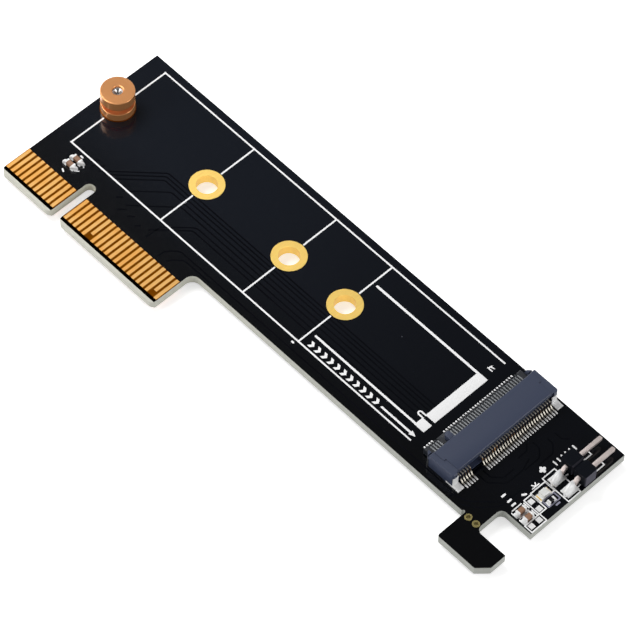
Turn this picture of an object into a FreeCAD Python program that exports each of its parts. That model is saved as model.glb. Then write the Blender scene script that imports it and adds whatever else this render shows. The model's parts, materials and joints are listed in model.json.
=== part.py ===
import FreeCAD, Part
import math
import os

# NVMe adapter card: a flat card with a four-lane edge finger that carries one drive module.
# Frame: X runs along the edge finger towards the socket, Y from the finger into the card,
# Z up out of the component side. The origin is the key notch's centre line, on the
# connector edge, level with the card's underside. Millimetres.

V = FreeCAD.Vector

# ---- card ----
card_thick = 1.6
finger_height = 8.25         # connector edge to the near long edge
left_margin = 3.4            # the card's left edge to the centre of the furthest module hole
right_margin = 16.5          # the module's seated edge to the card's right edge
near_margin = 1.75           # the near long edge to the socket's side
far_margin = 0.45            # the socket's other side to the far long edge
finger_root_radius = 1.5
finger_corner_radius = 0.9
notch_width = 1.95
bevel_depth = 0.7
bevel_height = 0.28

# ---- latch hook at the card's far end ----
hook_length = 9.0
hook_drop = 5.5              # below the near long edge
hook_chamfer_x = 1.6
hook_chamfer_y = 1.75
hook_corner_radius = 0.35
latch_depth = 5.85           # the latch notch, measured in from the card's right edge
latch_gap = 5.2
latch_floor = 4.7            # the hook's own height below the latch notch
latch_radius = 1.0

# ---- edge contacts ----
contact_pitch = 1.0
contact_width = 0.75
contact_length = 4.75
contact_start = 0.95         # connector edge to the long contacts' lower ends
contact_short_by = 1.0
copper_thick = 0.06
key_to_contact = 1.5         # key's centre line to the contact at either side
left_land = 0.37             # the outer contacts' centres to the finger's left and right ends
right_land = 0.43
contacts_before_key = 11
contacts_after_key = 21
short_above = (17, 31)       # presence-detect contacts on the component side
short_below = (1,)

# ---- module holes ----
module_lengths = (30.0, 42.0, 60.0, 80.0)
hole_radius = 1.7
ring_radius = 2.8
plating_wall = 0.16
plating_gap = 0.01
barrel_sides = 28              # flats of each plated hole's hidden outside

# ---- break-off perforations at the hook ----
snap_hole_radius = 0.32
snap_ring_radius = 0.6
snap_gap = 0.01
small_hole_sides = 16        # flats that draw each small hole and peg
snap_first_x = 0.9           # from the hook's left side
snap_pitch = 1.55
snap_count = 2
snap_corner_radius = 0.28
snap_drop = 0.15             # below the near long edge

# ---- standoff and its screw ----
standoff_foot_radius = 2.7
standoff_neck_radius = 1.65
standoff_head_radius = 2.7
standoff_height = 4.4
groove_height = 1.0
standoff_edge = 0.16
thread_radius = 0.8
standoff_mouth = 0.12
screw_radius = 0.78
screw_head_radius = 2.2
screw_head_height = 0.8
screw_head_round = 0.3
screw_short_of_top = 0.35
screw_recess_radius = 0.8
screw_recess_arm = 0.3
screw_recess_depth = 0.45
screw_cup_radius = 0.66        # hollow point, seen down the standoff's bore
screw_core_radius = 0.2
screw_core_depth = 1.2

# ---- module socket ----
module_thick = 0.8
module_seat = 1.6            # the module's underside above the card, set by the standoff's foot
tongue_side = 0.675          # the outer pins' centres to the sides of the module's tongue
tongue_clearance = 0.05
mouth_clearance = 0.05
socket_height = 3.0
end_wall = 0.875             # the mouth's end to the socket's side
jaw_reach = 3.55             # lower jaw's front, ahead of the module's seated edge
guide_reach = 2.8            # the end guides' front, ahead of the same edge
upper_jaw_reach = 1.5
edge_clearance = 0.2
socket_rear_reach = 3.05     # behind the module's seated edge
end_rear_reach = 3.3
base_rear_reach = 3.2
base_clearance = 0.25
jaw_lip = 0.2
jaw_sill = 0.3                 # bar left across the front of the open lower slots
jaw_chamfer = 0.15
upper_jaw_chamfer = 0.2
rear_overhang = 0.6
rear_shelf = 0.3
rear_window_top = 2.2
end_cap_drop = 0.15
foot_overlap = 0.425         # the end feet reach this far in under the mouth
cap_step = 0.5
cap_step_reach = 0.6
guide_corner = 0.95          # cut across the guides' front corners
rear_corner = 0.25
horn_rise = 0.3              # how far back the guide's front leans
horn_length = 0.55
horn_height = 2.4
horn_notch = 0.3             # step down behind the horn
top_edge = 0.1
slot_width = 0.3
roof_skin = 0.24
key_width = 1.0
key_reach = 2.9
key_corner = 0.25
peg_inset = 0.85             # the pegs' centres, in from the socket's sides
peg_radii = (0.55, 0.8)
peg_length = 1.2
peg_clearance = 0.05
peg_back = 0.4

# ---- socket contacts ----
pin_pitch = 0.5
pin_width = 0.2
pin_thick = 0.12
pin_count_before = 29        # from the far end to the key
pin_count_in_key = 4         # places the key leaves out
pin_count_upper = 5          # after the key
pin_count_lower = 4
foot_length = 1.0
lower_foot_front = 0.75      # ahead of the lower jaw
upper_foot_rear = 1.75       # behind the socket's rear face
leg_height = 1.35
leg_out = 0.12                 # the upper contacts' first bend, behind the rear face
knee_out = 0.4
knee_height = 0.5
tip_proud = 0.2

# ---- socket hold-down tabs ----
tab_thick = 0.15
tab_width = 1.1
tab_height = 1.9
tab_foot = 1.2
tab_lug_length = 1.2
tab_lug_width = 0.4
tab_inset = 0.05
tab_clearance = 0.02

# ---- two-pin header ----
header_pitch = 2.54
header_pin_x = 2.6           # card's right edge to the middle of the two pins
header_depth = 2.5
header_back = 5.9            # header's far face to the card's far edge
header_lift = 0.15
header_nick = 0.35
header_edge = 0.2
pin_side = 0.64
pin_point = 0.2
pin_reach = 4.85
header_foot_reach = 2.75
header_foot_length = 1.5
header_pad_width = 1.7
header_pad_length = 2.3

# ---- chip parts: length, width, height ----
chip_0603 = (1.6, 0.8, 0.75)
chip_0402 = (1.25, 0.6, 0.5)
chip_led = (2.0, 1.15, 0.75)
cap_band = 0.3
cap_skin = 0.03
chip_pad_margin = 0.2
header_pad_margin = 0.12
bare_pad = 0.85
led_base_share = 0.4
led_lens_inset = 0.36

# ---- places of the chip parts: x from the card's right edge, y from its far edge ----
lamp_x = 3.35
resistor_x = 1.85
lamp_row_y = 13.45
filter_xs = (3.55, 2.1)
filter_row_y = 17.95
bare_row_xs = (3.75, 2.15)
bare_row_y = 15.6
bare_column_x = 0.85
bare_column_ys = (16.95, 18.5)

# ---- places of the two capacitors above the finger: from the key and the near long edge ----
finger_cap_xs = (-5.1, -5.2)
finger_cap_ys = (1.2, -0.15)

# ---- sizes that follow ----
card_left = key_to_contact + (contacts_before_key - 1) * contact_pitch + left_land
finger_right = key_to_contact + (contacts_after_key - 1) * contact_pitch + right_land
upper_span = (pin_count_before + pin_count_in_key + pin_count_upper - 1) * pin_pitch
lower_span = (pin_count_before + pin_count_in_key + pin_count_lower - 1) * pin_pitch
key_middle = (pin_count_before + (pin_count_in_key - 1) / 2) * pin_pitch
key_offset = key_middle - (upper_span + lower_span) / 4
half_mouth = upper_span / 2 + tongue_side + tongue_clearance
half_width = half_mouth + end_wall
near_edge = finger_height
module_y = near_edge + near_margin + half_width
card_depth = module_y + half_width + far_margin
hole_xs = [left_margin - card_left + module_lengths[-1] - length for length in module_lengths]
seat_x = hole_xs[-1] + module_lengths[-1]
card_right = seat_x + right_margin
hook_left = card_right - hook_length
hook_bottom = near_edge - hook_drop
latch_left = card_right - latch_depth
latch_bottom = hook_bottom + latch_floor
latch_top = latch_bottom + latch_gap
top = card_thick
contact_end = contact_start + contact_length


def save(shape, node):
    shape.exportStep("parts/" + node + ".step")


def rounded_wire(corners):
    """Closed flat wire through (x, y, radius) corners, each rounded by its radius."""
    points = [V(x, y, 0) for x, y, radius in corners]
    edges = []
    starts = []
    ends = []
    middles = []
    for i, (x, y, radius) in enumerate(corners):
        here = points[i]
        back = (points[i - 1] - here).normalize()
        ahead = (points[(i + 1) % len(points)] - here).normalize()
        half_turn = back.getAngle(ahead) / 2
        reach = radius / math.tan(half_turn)
        starts.append(here + back * reach)
        ends.append(here + ahead * reach)
        centre_way = (back + ahead).normalize()
        middles.append(here + centre_way * (radius / math.sin(half_turn) - radius))
    for i, (x, y, radius) in enumerate(corners):
        if radius > 0:
            edges.append(Part.Arc(starts[i], middles[i], ends[i]).toShape())
        following = starts[(i + 1) % len(corners)]
        if (following - ends[i]).Length > 1e-6:
            edges.append(Part.makeLine(ends[i], following))
    return Part.Wire(edges)


def plate(corners, z_low, thick):
    """Flat plate of a rounded outline."""
    face = Part.Face(rounded_wire(corners))
    face.translate(V(0, 0, z_low))
    return face.extrude(V(0, 0, thick))


def rectangle(x0, y0, x1, y1, radius=0.0):
    return [(x0, y0, radius), (x1, y0, radius), (x1, y1, radius), (x0, y1, radius)]


def block(x0, x1, y0, y1, z0, z1):
    return Part.makeBox(x1 - x0, y1 - y0, z1 - z0, V(x0, y0, z0))


def side_profile(points, y_low, width):
    """Extrusion along Y of an outline given as (x, z) points."""
    wire = Part.makePolygon([V(x, y_low, z) for x, z in points + points[:1]])
    return Part.Face(wire).extrude(V(0, width, 0))


def bent_strip(path, thick, y_mid, width):
    """Flat strip of even thickness bent along an (x, z) path."""
    left = []
    right = []
    for i, (x, z) in enumerate(path):
        ways = []
        if i > 0:
            ways.append(V(x - path[i - 1][0], z - path[i - 1][1], 0).normalize())
        if i < len(path) - 1:
            ways.append(V(path[i + 1][0] - x, path[i + 1][1] - z, 0).normalize())
        along = sum(ways[1:], ways[0]).normalize()
        spread = thick / 2 / along.dot(ways[0])
        left.append((x - along.y * spread, z + along.x * spread))
        right.append((x + along.y * spread, z - along.x * spread))
    return side_profile(left + right[::-1], y_mid - width / 2, width)


def flatted(radius, x, y, z_low, high, sides=small_hole_sides):
    """Round post or hole drawn with flats, its corners on the circle."""
    corners = []
    for i in range(sides):
        angle = 2 * math.pi * i / sides
        corners.append((x + radius * math.cos(angle), y + radius * math.sin(angle), 0.0))
    return plate(corners, z_low, high)


def turned(profile, x, y):
    """Solid of revolution about a vertical axis from (radius, z) points."""
    wire = Part.makePolygon([V(r, 0, z) for r, z in profile + profile[:1]])
    solid = Part.Face(wire).revolve(V(0, 0, 0), V(0, 0, 1), 360)
    solid.translate(V(x, y, 0))
    return solid


def cone(low_radius, high_radius, x, y, z_high):
    """Cone that opens upwards at 45 degrees to its rim."""
    high = high_radius - low_radius
    return Part.makeCone(low_radius, high_radius, high, V(x, y, z_high - high))


def snap_centres():
    """Centres of the plated perforations that let the hook be broken off."""
    row_y = near_edge - snap_drop
    return [(hook_left + snap_first_x + i * snap_pitch, row_y) for i in range(snap_count)]


# ---------------------------------------------------------------- card
def peg_places():
    x = seat_x - peg_back
    offset = half_width - peg_inset
    return [(x, module_y + offset, peg_radii[0]), (x, module_y - offset, peg_radii[1])]


def make_card():
    half = notch_width / 2
    outline = [
        (-card_left, card_depth, 0.0), (-card_left, 0.0, finger_corner_radius),
        (-half, 0.0, finger_corner_radius), (-half, near_edge, half),
        (half, near_edge, half), (half, 0.0, finger_corner_radius),
        (finger_right, 0.0, finger_corner_radius), (finger_right, near_edge, finger_root_radius),
        (hook_left, near_edge, 0.0), (hook_left, hook_bottom, hook_corner_radius),
        (card_right - hook_chamfer_x, hook_bottom, 0.0),
        (card_right, hook_bottom + hook_chamfer_y, 0.0), (card_right, latch_bottom, 0.0),
        (latch_left, latch_bottom, latch_radius), (latch_left, latch_top, latch_radius),
        (card_right, latch_top, 0.0), (card_right, card_depth, 0.0),
    ]
    card = plate(outline, 0, card_thick)
    cuts = []
    barrel = hole_radius + plating_wall + plating_gap
    for x in hole_xs:
        cuts.append(flatted(barrel, x, module_y, 0, card_thick, barrel_sides))
    for x, y, radius in peg_places():
        cuts.append(flatted(radius + peg_clearance, x, y, 0, card_thick))
    for x, y in snap_centres():
        cuts.append(flatted(snap_ring_radius + snap_gap, x, y, 0, card_thick))
    cuts.append(flatted(snap_corner_radius, hook_left - snap_corner_radius, near_edge, 0,
                        card_thick))
    slope = bevel_height / bevel_depth
    over = 1.0
    for face_z, way in ((card_thick, -1), (0.0, 1)):
        wedge = [(bevel_depth, face_z), (-over, face_z + way * slope * (bevel_depth + over)),
                 (-over, face_z - way * over), (bevel_depth, face_z - way * over)]
        wire = Part.makePolygon([V(-card_left - over, y, z) for y, z in wedge + wedge[:1]])
        cuts.append(Part.Face(wire).extrude(V(card_left + finger_right + 2 * over, 0, 0)))
    return card.cut(cuts)


def contact_xs():
    before = [-key_to_contact - contact_pitch * i for i in range(contacts_before_key)]
    after = [key_to_contact + contact_pitch * i for i in range(contacts_after_key)]
    return before[::-1] + after


def edge_contacts(z_low, short):
    solids = []
    for i, x in enumerate(contact_xs()):
        start = contact_start
        if i + 1 in short:
            start += contact_short_by
        left = max(x - contact_width / 2, -card_left)
        solids.append(block(left, x + contact_width / 2, start, contact_end,
                            z_low, z_low + copper_thick))
    return Part.makeCompound(solids)


def plated_hole(x):
    """Ring on both faces joined by the barrel through the card, in one plating."""
    low = -copper_thick
    length = card_thick + 2 * copper_thick
    barrel = flatted(hole_radius + plating_wall, x, module_y, 0, card_thick, barrel_sides)
    rings = [Part.makeCylinder(ring_radius, copper_thick, V(x, module_y, z)) for z in (low, top)]
    bore = Part.makeCylinder(hole_radius, length, V(x, module_y, low))
    return barrel.fuse(rings).cut(bore)


def plated_eyelet(x, y):
    """Plated perforation: a short tube through the card, just proud of both faces."""
    low = -copper_thick
    length = card_thick + 2 * copper_thick
    tube = flatted(snap_ring_radius, x, y, low, length)
    return tube.cut(flatted(snap_hole_radius, x, y, low, length))


# ---------------------------------------------------------------- standoff
def make_standoff(x, y):
    base = top + copper_thick
    shoulder = top + module_seat
    head = shoulder + groove_height
    high = top + standoff_height
    edge = standoff_edge
    body = turned([
        (0, base), (standoff_foot_radius, base), (standoff_foot_radius, shoulder),
        (standoff_neck_radius, shoulder), (standoff_neck_radius, head),
        (standoff_head_radius, head), (standoff_head_radius, high - edge),
        (standoff_head_radius - edge, high), (0, high)], x, y)
    bore = flatted(thread_radius, x, y, base, high - base)
    mouth = cone(thread_radius, thread_radius + standoff_mouth, x, y, high)
    return body.cut([bore, mouth])


def make_screw(x, y):
    under = -copper_thick
    low = under - screw_head_height
    tip = top + standoff_height - screw_short_of_top
    head = turned([
        (0, low), (screw_head_radius - screw_head_round, low),
        (screw_head_radius, low + screw_head_round), (screw_head_radius, under), (0, under)], x, y)
    shank = flatted(screw_radius, x, y, under, tip - under)
    cup = cone(screw_core_radius, screw_cup_radius, x, y, tip)
    core = flatted(screw_core_radius, x, y, tip - screw_core_depth, screw_core_depth)
    arm = screw_recess_arm / 2
    reach = screw_recess_radius
    floor = low + screw_recess_depth
    across = block(x - reach, x + reach, y - arm, y + arm, low, floor)
    along = block(x - arm, x + arm, y - reach, y + reach, low, floor)
    return head.fuse(shank).cut([across, along, cup, core])


# ---------------------------------------------------------------- socket
jaw_front = seat_x - jaw_reach
guide_front = seat_x - guide_reach
upper_front = seat_x - upper_jaw_reach
mouth_back = seat_x + edge_clearance
rear_face = seat_x + socket_rear_reach
end_rear = seat_x + end_rear_reach
floor_z = top + module_seat - mouth_clearance
roof_z = top + module_seat + module_thick + mouth_clearance
crown_z = top + socket_height
cap_z = crown_z - end_cap_drop
under_z = top + base_clearance
channel_back = rear_face - rear_overhang


def pin_ys(span, after_key):
    """Pins of one row, from the far end: one run, the key's gap, then the rest."""
    first = module_y + span / 2
    gap_end = pin_count_before + pin_count_in_key
    places = list(range(pin_count_before)) + list(range(gap_end, gap_end + after_key))
    return [first - i * pin_pitch for i in places]


def lower_pin_ys():
    return pin_ys(lower_span, pin_count_lower)


def upper_pin_ys():
    return pin_ys(upper_span, pin_count_upper)


def socket_core():
    """The middle of the housing: both jaws, the mouth between them and the rear shelf."""
    profile = [
        (jaw_front, under_z), (jaw_front, floor_z - jaw_chamfer),
        (jaw_front + jaw_chamfer, floor_z), (mouth_back, floor_z), (mouth_back, roof_z),
        (upper_front + upper_jaw_chamfer, roof_z), (upper_front, roof_z + upper_jaw_chamfer),
        (upper_front, crown_z - top_edge), (upper_front + top_edge, crown_z),
        (rear_face - top_edge, crown_z), (rear_face, crown_z - top_edge),
        (rear_face, top + rear_window_top), (channel_back, top + rear_window_top),
        (channel_back, under_z + rear_shelf), (seat_x + base_rear_reach, under_z + rear_shelf),
        (seat_x + base_rear_reach, under_z)]
    return side_profile(profile, module_y - half_mouth, 2 * half_mouth)


def end_block(side):
    """Guide wall at one end, with its leaning front, horn, lower cap and foot on the card."""
    horn_top = top + horn_height
    horn_front = guide_front + horn_rise
    horn_back = horn_front + horn_length
    notch_x = upper_front - jaw_chamfer
    profile = [
        (guide_front, top), (guide_front, floor_z), (horn_front, horn_top), (horn_back, horn_top),
        (horn_back, horn_top - horn_notch), (notch_x, horn_top - horn_notch),
        (notch_x, cap_z - top_edge), (notch_x + top_edge, cap_z), (end_rear - top_edge, cap_z),
        (end_rear, cap_z - top_edge), (end_rear, top)]
    low = module_y + half_mouth if side > 0 else module_y - half_width
    wall = side_profile(profile, low, end_wall)
    outer = module_y + side * half_width
    outline = [
        (guide_front, module_y, 0.0), (guide_front, outer - side * guide_corner, 0.0),
        (guide_front + guide_corner, outer, 0.0), (end_rear - rear_corner, outer, 0.0),
        (end_rear, outer - side * rear_corner, 0.0), (end_rear, module_y, 0.0)]
    return wall.common(plate(outline, top, socket_height))


def end_lid(side):
    """The core's top is lowered at each end to meet the caps, with one stepped corner."""
    inner = half_mouth - foot_overlap
    cut_low = module_y + side * inner
    cut_high = module_y + side * half_width
    step = module_y + side * (inner + cap_step)
    step_x = upper_front + (rear_face - upper_front) / 2 - cap_step_reach / 2
    corners = [
        (upper_front - 1, step, 0.0), (step_x, step, 0.0), (step_x, cut_low, 0.0),
        (rear_face + 1, cut_low, 0.0), (rear_face + 1, cut_high, 0.0),
        (upper_front - 1, cut_high, 0.0)]
    return plate(corners, cap_z, end_cap_drop + 1)


def key_rib():
    front = seat_x - key_reach
    y = module_y - key_offset
    low = y - key_width / 2
    high = y + key_width / 2
    outline = [(front, low + key_corner, 0.0), (front + key_corner, low, 0.0),
               (mouth_back + key_corner, low, 0.0), (mouth_back + key_corner, high, 0.0),
               (front + key_corner, high, 0.0), (front, high - key_corner, 0.0)]
    return plate(outline, floor_z - jaw_chamfer, roof_z - floor_z + 2 * jaw_chamfer)


def locating_peg(x, y, radius):
    return flatted(radius, x, y, top - peg_length, peg_length)


def lower_slot(y):
    """Channel that holds one lower contact, open under the jaw, at its front and above."""
    sill = under_z + jaw_sill
    points = [(jaw_front + jaw_lip, under_z - 1), (jaw_front + jaw_lip, sill),
              (jaw_front - 1, sill), (jaw_front - 1, floor_z + mouth_clearance),
              (mouth_back - jaw_lip, floor_z + mouth_clearance),
              (mouth_back - jaw_lip, under_z - 1)]
    return side_profile(points, y - slot_width / 2, slot_width)


def upper_slot(y):
    """Channel that holds one upper contact, from the roof to the window at the rear."""
    ceiling = crown_z - roof_skin
    sill = top + leg_height - slot_width
    deep = channel_back - 3 * slot_width
    points = [(upper_front + jaw_lip, roof_z - mouth_clearance), (upper_front + jaw_lip, ceiling),
              (channel_back, ceiling), (channel_back, top + rear_window_top),
              (rear_face + 1, top + rear_window_top), (rear_face + 1, sill), (deep, sill),
              (deep, roof_z - mouth_clearance)]
    return side_profile(points, y - slot_width / 2, slot_width)


def tab_pocket(side):
    """Recess at the rear corner that holds the hold-down tab and its side lug."""
    rear = end_rear
    outer = module_y + side * half_width
    inner = outer - side * (tab_width + tab_inset + 2 * tab_clearance)
    low = min(inner, outer - side * tab_inset)
    high = max(inner, outer - side * tab_inset)
    slot = block(rear - tab_thick - tab_clearance, rear + 1, low, high,
                 top, top + tab_height + tab_clearance)
    lug_inner = outer - side * (tab_lug_width - tab_inset)
    low = min(lug_inner, outer + side)
    high = max(lug_inner, outer + side)
    lug = block(rear - tab_thick - tab_lug_length - tab_clearance, rear + 1, low, high,
                top, top + copper_thick + tab_thick + tab_clearance)
    return [slot, lug]


def make_socket_housing():
    ends = [end_block(1), end_block(-1)]
    feet = []
    for low in (half_mouth - foot_overlap, -half_mouth):
        feet.append(block(guide_front, seat_x + base_rear_reach, module_y + low,
                          module_y + low + foot_overlap, top, under_z))
    pegs = [locating_peg(x, y, radius) for x, y, radius in peg_places()]
    shape = socket_core().fuse(ends + feet + pegs + [key_rib()])
    cuts = [end_lid(1), end_lid(-1)]
    cuts += [lower_slot(y) for y in lower_pin_ys()]
    cuts += [upper_slot(y) for y in upper_pin_ys()]
    cuts += tab_pocket(1) + tab_pocket(-1)
    return shape.cut(cuts).removeSplitter()


def lower_contact(y):
    foot_z = top + pin_thick / 2
    tip_x = mouth_back - jaw_lip - 3 * pin_thick
    riser = jaw_front + jaw_lip + 2 * pin_thick
    path = [(jaw_front - lower_foot_front, foot_z), (riser, foot_z), (riser, floor_z - pin_thick),
            (tip_x, floor_z + tip_proud - pin_thick)]
    return bent_strip(path, pin_thick, y, pin_width)


def upper_contact(y):
    foot_z = top + pin_thick / 2
    foot_end = rear_face + upper_foot_rear
    beam = crown_z - roof_skin - pin_thick
    tip_x = upper_front + jaw_lip + pin_thick
    riser = channel_back - slot_width
    leg = top + leg_height
    path = [(foot_end, foot_z), (foot_end - foot_length, foot_z),
            (rear_face + knee_out, top + knee_height), (rear_face + leg_out, leg), (riser, leg),
            (riser, beam), (tip_x, roof_z - tip_proud + pin_thick)]
    return bent_strip(path, pin_thick, y, pin_width)


def socket_tab(side):
    """L-shaped hold-down: a blade up the housing's rear, a foot, and a lug beside the end."""
    rear = end_rear
    outer = module_y + side * (half_width - tab_inset - tab_clearance)
    inner = outer - side * tab_width
    low = min(inner, outer)
    base = top + copper_thick
    blade = block(rear - tab_thick, rear, low, low + tab_width, base, top + tab_height)
    foot = block(rear - tab_thick, rear + tab_foot, low, low + tab_width, base, base + tab_thick)
    lug_outer = module_y + side * (half_width + tab_inset)
    lug_inner = lug_outer - side * (tab_lug_width - tab_clearance)
    lug_low = min(lug_inner, lug_outer)
    lug_front = rear - tab_thick - tab_lug_length
    lug = block(lug_front, rear + tab_foot / 2, lug_low, lug_low + tab_lug_width - tab_clearance,
                base, base + tab_thick)
    return blade.fuse([foot, lug]).removeSplitter()


def tab_pad(side):
    """Pad under one tab: an L of copper on the card."""
    rear = end_rear
    outer = module_y + side * (half_width + tab_inset)
    inner = outer - side * (tab_width + 2 * tab_inset)
    lug_inner = outer - side * (tab_lug_width - tab_clearance)
    front = rear - tab_thick - tab_lug_length
    heel = rear - tab_thick
    toe = rear + tab_foot + tab_inset
    corners = [(front, outer, 0.0), (toe, outer, 0.0), (toe, inner, 0.0), (heel, inner, 0.0),
               (heel, lug_inner, 0.0), (front, lug_inner, 0.0)]
    return plate(corners, top, copper_thick)


# ---------------------------------------------------------------- header
header_mid = card_right - header_pin_x
header_far = card_depth - header_back
header_near = header_far - header_depth
header_low = top + header_lift
pin_z = header_low + header_pitch / 2
header_pins = (header_mid - header_pitch / 2, header_mid + header_pitch / 2)


def make_header_block():
    """Moulded insulator of two square cells, nicked between them, on two feet."""
    low = header_mid - header_pitch
    high = header_mid + header_pitch
    edge = header_edge
    nick = header_nick
    corners = []
    for x, way in ((low, 1), (high, -1)):
        cell = [(x + way * edge, header_near, 0.0), (x, header_near + edge, 0.0),
                (x, header_far - edge, 0.0), (x + way * edge, header_far, 0.0)]
        if way > 0:
            corners += cell + [(header_mid - nick, header_far, 0.0),
                               (header_mid, header_far - nick, 0.0),
                               (header_mid + nick, header_far, 0.0)]
        else:
            corners += cell[::-1] + [(header_mid + nick, header_near, 0.0),
                                     (header_mid, header_near + nick, 0.0),
                                     (header_mid - nick, header_near, 0.0)]
    body = plate(corners, header_low, header_pitch)
    cuts = []
    for z, way in ((header_low + header_pitch, -1), (header_low, 1)):
        groove = [(header_mid - nick, z), (header_mid, z + way * nick), (header_mid + nick, z)]
        cuts.append(side_profile(groove, header_near - 1, header_depth + 2))
    half = pin_side / 2
    for x in header_pins:
        cuts.append(block(x - half, x + half, header_near - 1, header_far + 1,
                          pin_z - half, pin_z + half))
    feet = []
    for x in header_pins:
        feet.append(block(x - pin_side, x + pin_side, header_near + nick, header_far - nick,
                          top, header_low))
    return body.cut(cuts).fuse(feet).removeSplitter()


def header_pin(x):
    """Square pin: pointed at its free end, bent down at the other to its foot on the card."""
    half = pin_side / 2
    foot_z = top + copper_thick + half
    tip = header_far + pin_reach
    bend = header_near - header_foot_reach + header_foot_length
    heel = header_near - header_foot_reach
    path = [(tip - pin_point, pin_z), (header_near - half, pin_z), (bend, foot_z), (heel, foot_z)]
    body = bent_strip([(y, z) for y, z in path], pin_side, 0, pin_side)
    body.rotate(V(0, 0, 0), V(0, 0, 1), 90)
    body.translate(V(x, 0, 0))
    root = rounded_wire(rectangle(-half, -half, half, half))
    end = rounded_wire(rectangle(-half + pin_point / 2, -half + pin_point / 2,
                                 half - pin_point / 2, half - pin_point / 2))
    end.translate(V(0, 0, pin_point))
    point = Part.makeLoft([root, end], True)
    point.rotate(V(0, 0, 0), V(1, 0, 0), -90)
    point.translate(V(x, tip - pin_point, pin_z))
    return body.fuse(point).removeSplitter()


def header_pads():
    pads = []
    heel = header_near - header_foot_reach
    for x in header_pins:
        low = heel - header_pad_margin
        pads.append(block(x - header_pad_width / 2, x + header_pad_width / 2, low,
                          low + header_pad_length, top, top + copper_thick))
    return Part.makeCompound(pads)


# ---------------------------------------------------------------- chip parts
def placed(shape, x, y, along_y):
    if along_y:
        shape.rotate(V(0, 0, 0), V(0, 0, 1), 90)
    shape.translate(V(x, y, 0))
    return shape


def chip_body(size, x, y, along_y):
    """Ceramic block of a chip part, between and inside its end bands."""
    length, width, height = size
    base = top + copper_thick + cap_skin
    half = length / 2 - cap_skin
    side = width / 2 - cap_skin
    body = block(-half, half, -side, side, base, base + height - 2 * cap_skin)
    return placed(body, x, y, along_y)


def chip_ends(size, x, y, along_y):
    """Plated bands that wrap both ends of the block."""
    length, width, height = size
    base = top + copper_thick
    bands = []
    for way in (1, -1):
        low = min(way * length / 2, way * (length / 2 - cap_band))
        band = block(low, low + cap_band, -width / 2, width / 2, base, base + height)
        cavity_low = min(way * (length / 2 - cap_skin), 0)
        cavity = block(cavity_low, cavity_low + length / 2 - cap_skin, -width / 2 + cap_skin,
                       width / 2 - cap_skin, base + cap_skin, base + height - cap_skin)
        bands.append(band.cut(cavity))
    return placed(Part.makeCompound(bands), x, y, along_y)


def chip_pads(size, x, y, along_y):
    length, width, height = size
    reach = length / 2 + chip_pad_margin
    side = width / 2 + chip_pad_margin / 2
    pads = []
    for way in (1, -1):
        low = min(way * reach, way * (length / 2 - cap_band))
        pads.append(block(low, low + cap_band + chip_pad_margin, -side, side,
                          top, top + copper_thick))
    return placed(Part.makeCompound(pads), x, y, along_y)


def led_base(x, y):
    length, width, height = chip_led
    base = top + copper_thick
    half = length / 2 - cap_skin
    body = block(-half, half, -width / 2, width / 2, base, base + height * led_base_share)
    return placed(body, x, y, True)


def led_lens(x, y):
    """Clear cap on the lamp, narrower than its base and with drafted ends."""
    length, width, height = chip_led
    low = top + copper_thick + height * led_base_share
    high = top + copper_thick + height
    half = length / 2 - led_lens_inset
    draft = cap_skin * 3
    points = [(-half, low), (half, low), (half - draft, high), (-half + draft, high)]
    return placed(side_profile(points, -width / 2, width), x, y, True)


def led_ends(x, y):
    length, width, height = chip_led
    base = top + copper_thick
    plates = []
    for way in (1, -1):
        low = min(way * length / 2, way * (length / 2 - cap_skin))
        plates.append(block(low, low + cap_skin, -width / 2, width / 2, base,
                            base + height * led_base_share))
    return placed(Part.makeCompound(plates), x, y, True)


def from_corner(x, y):
    """Place given from the card's right edge and far edge."""
    return (card_right - x, card_depth - y)


def bare_pads():
    half = bare_pad / 2
    places = [from_corner(x, bare_row_y) for x in bare_row_xs]
    places += [from_corner(bare_column_x, y) for y in bare_column_ys]
    return Part.makeCompound([block(x - half, x + half, y - half, y + half, top,
                                    top + copper_thick) for x, y in places])


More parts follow.
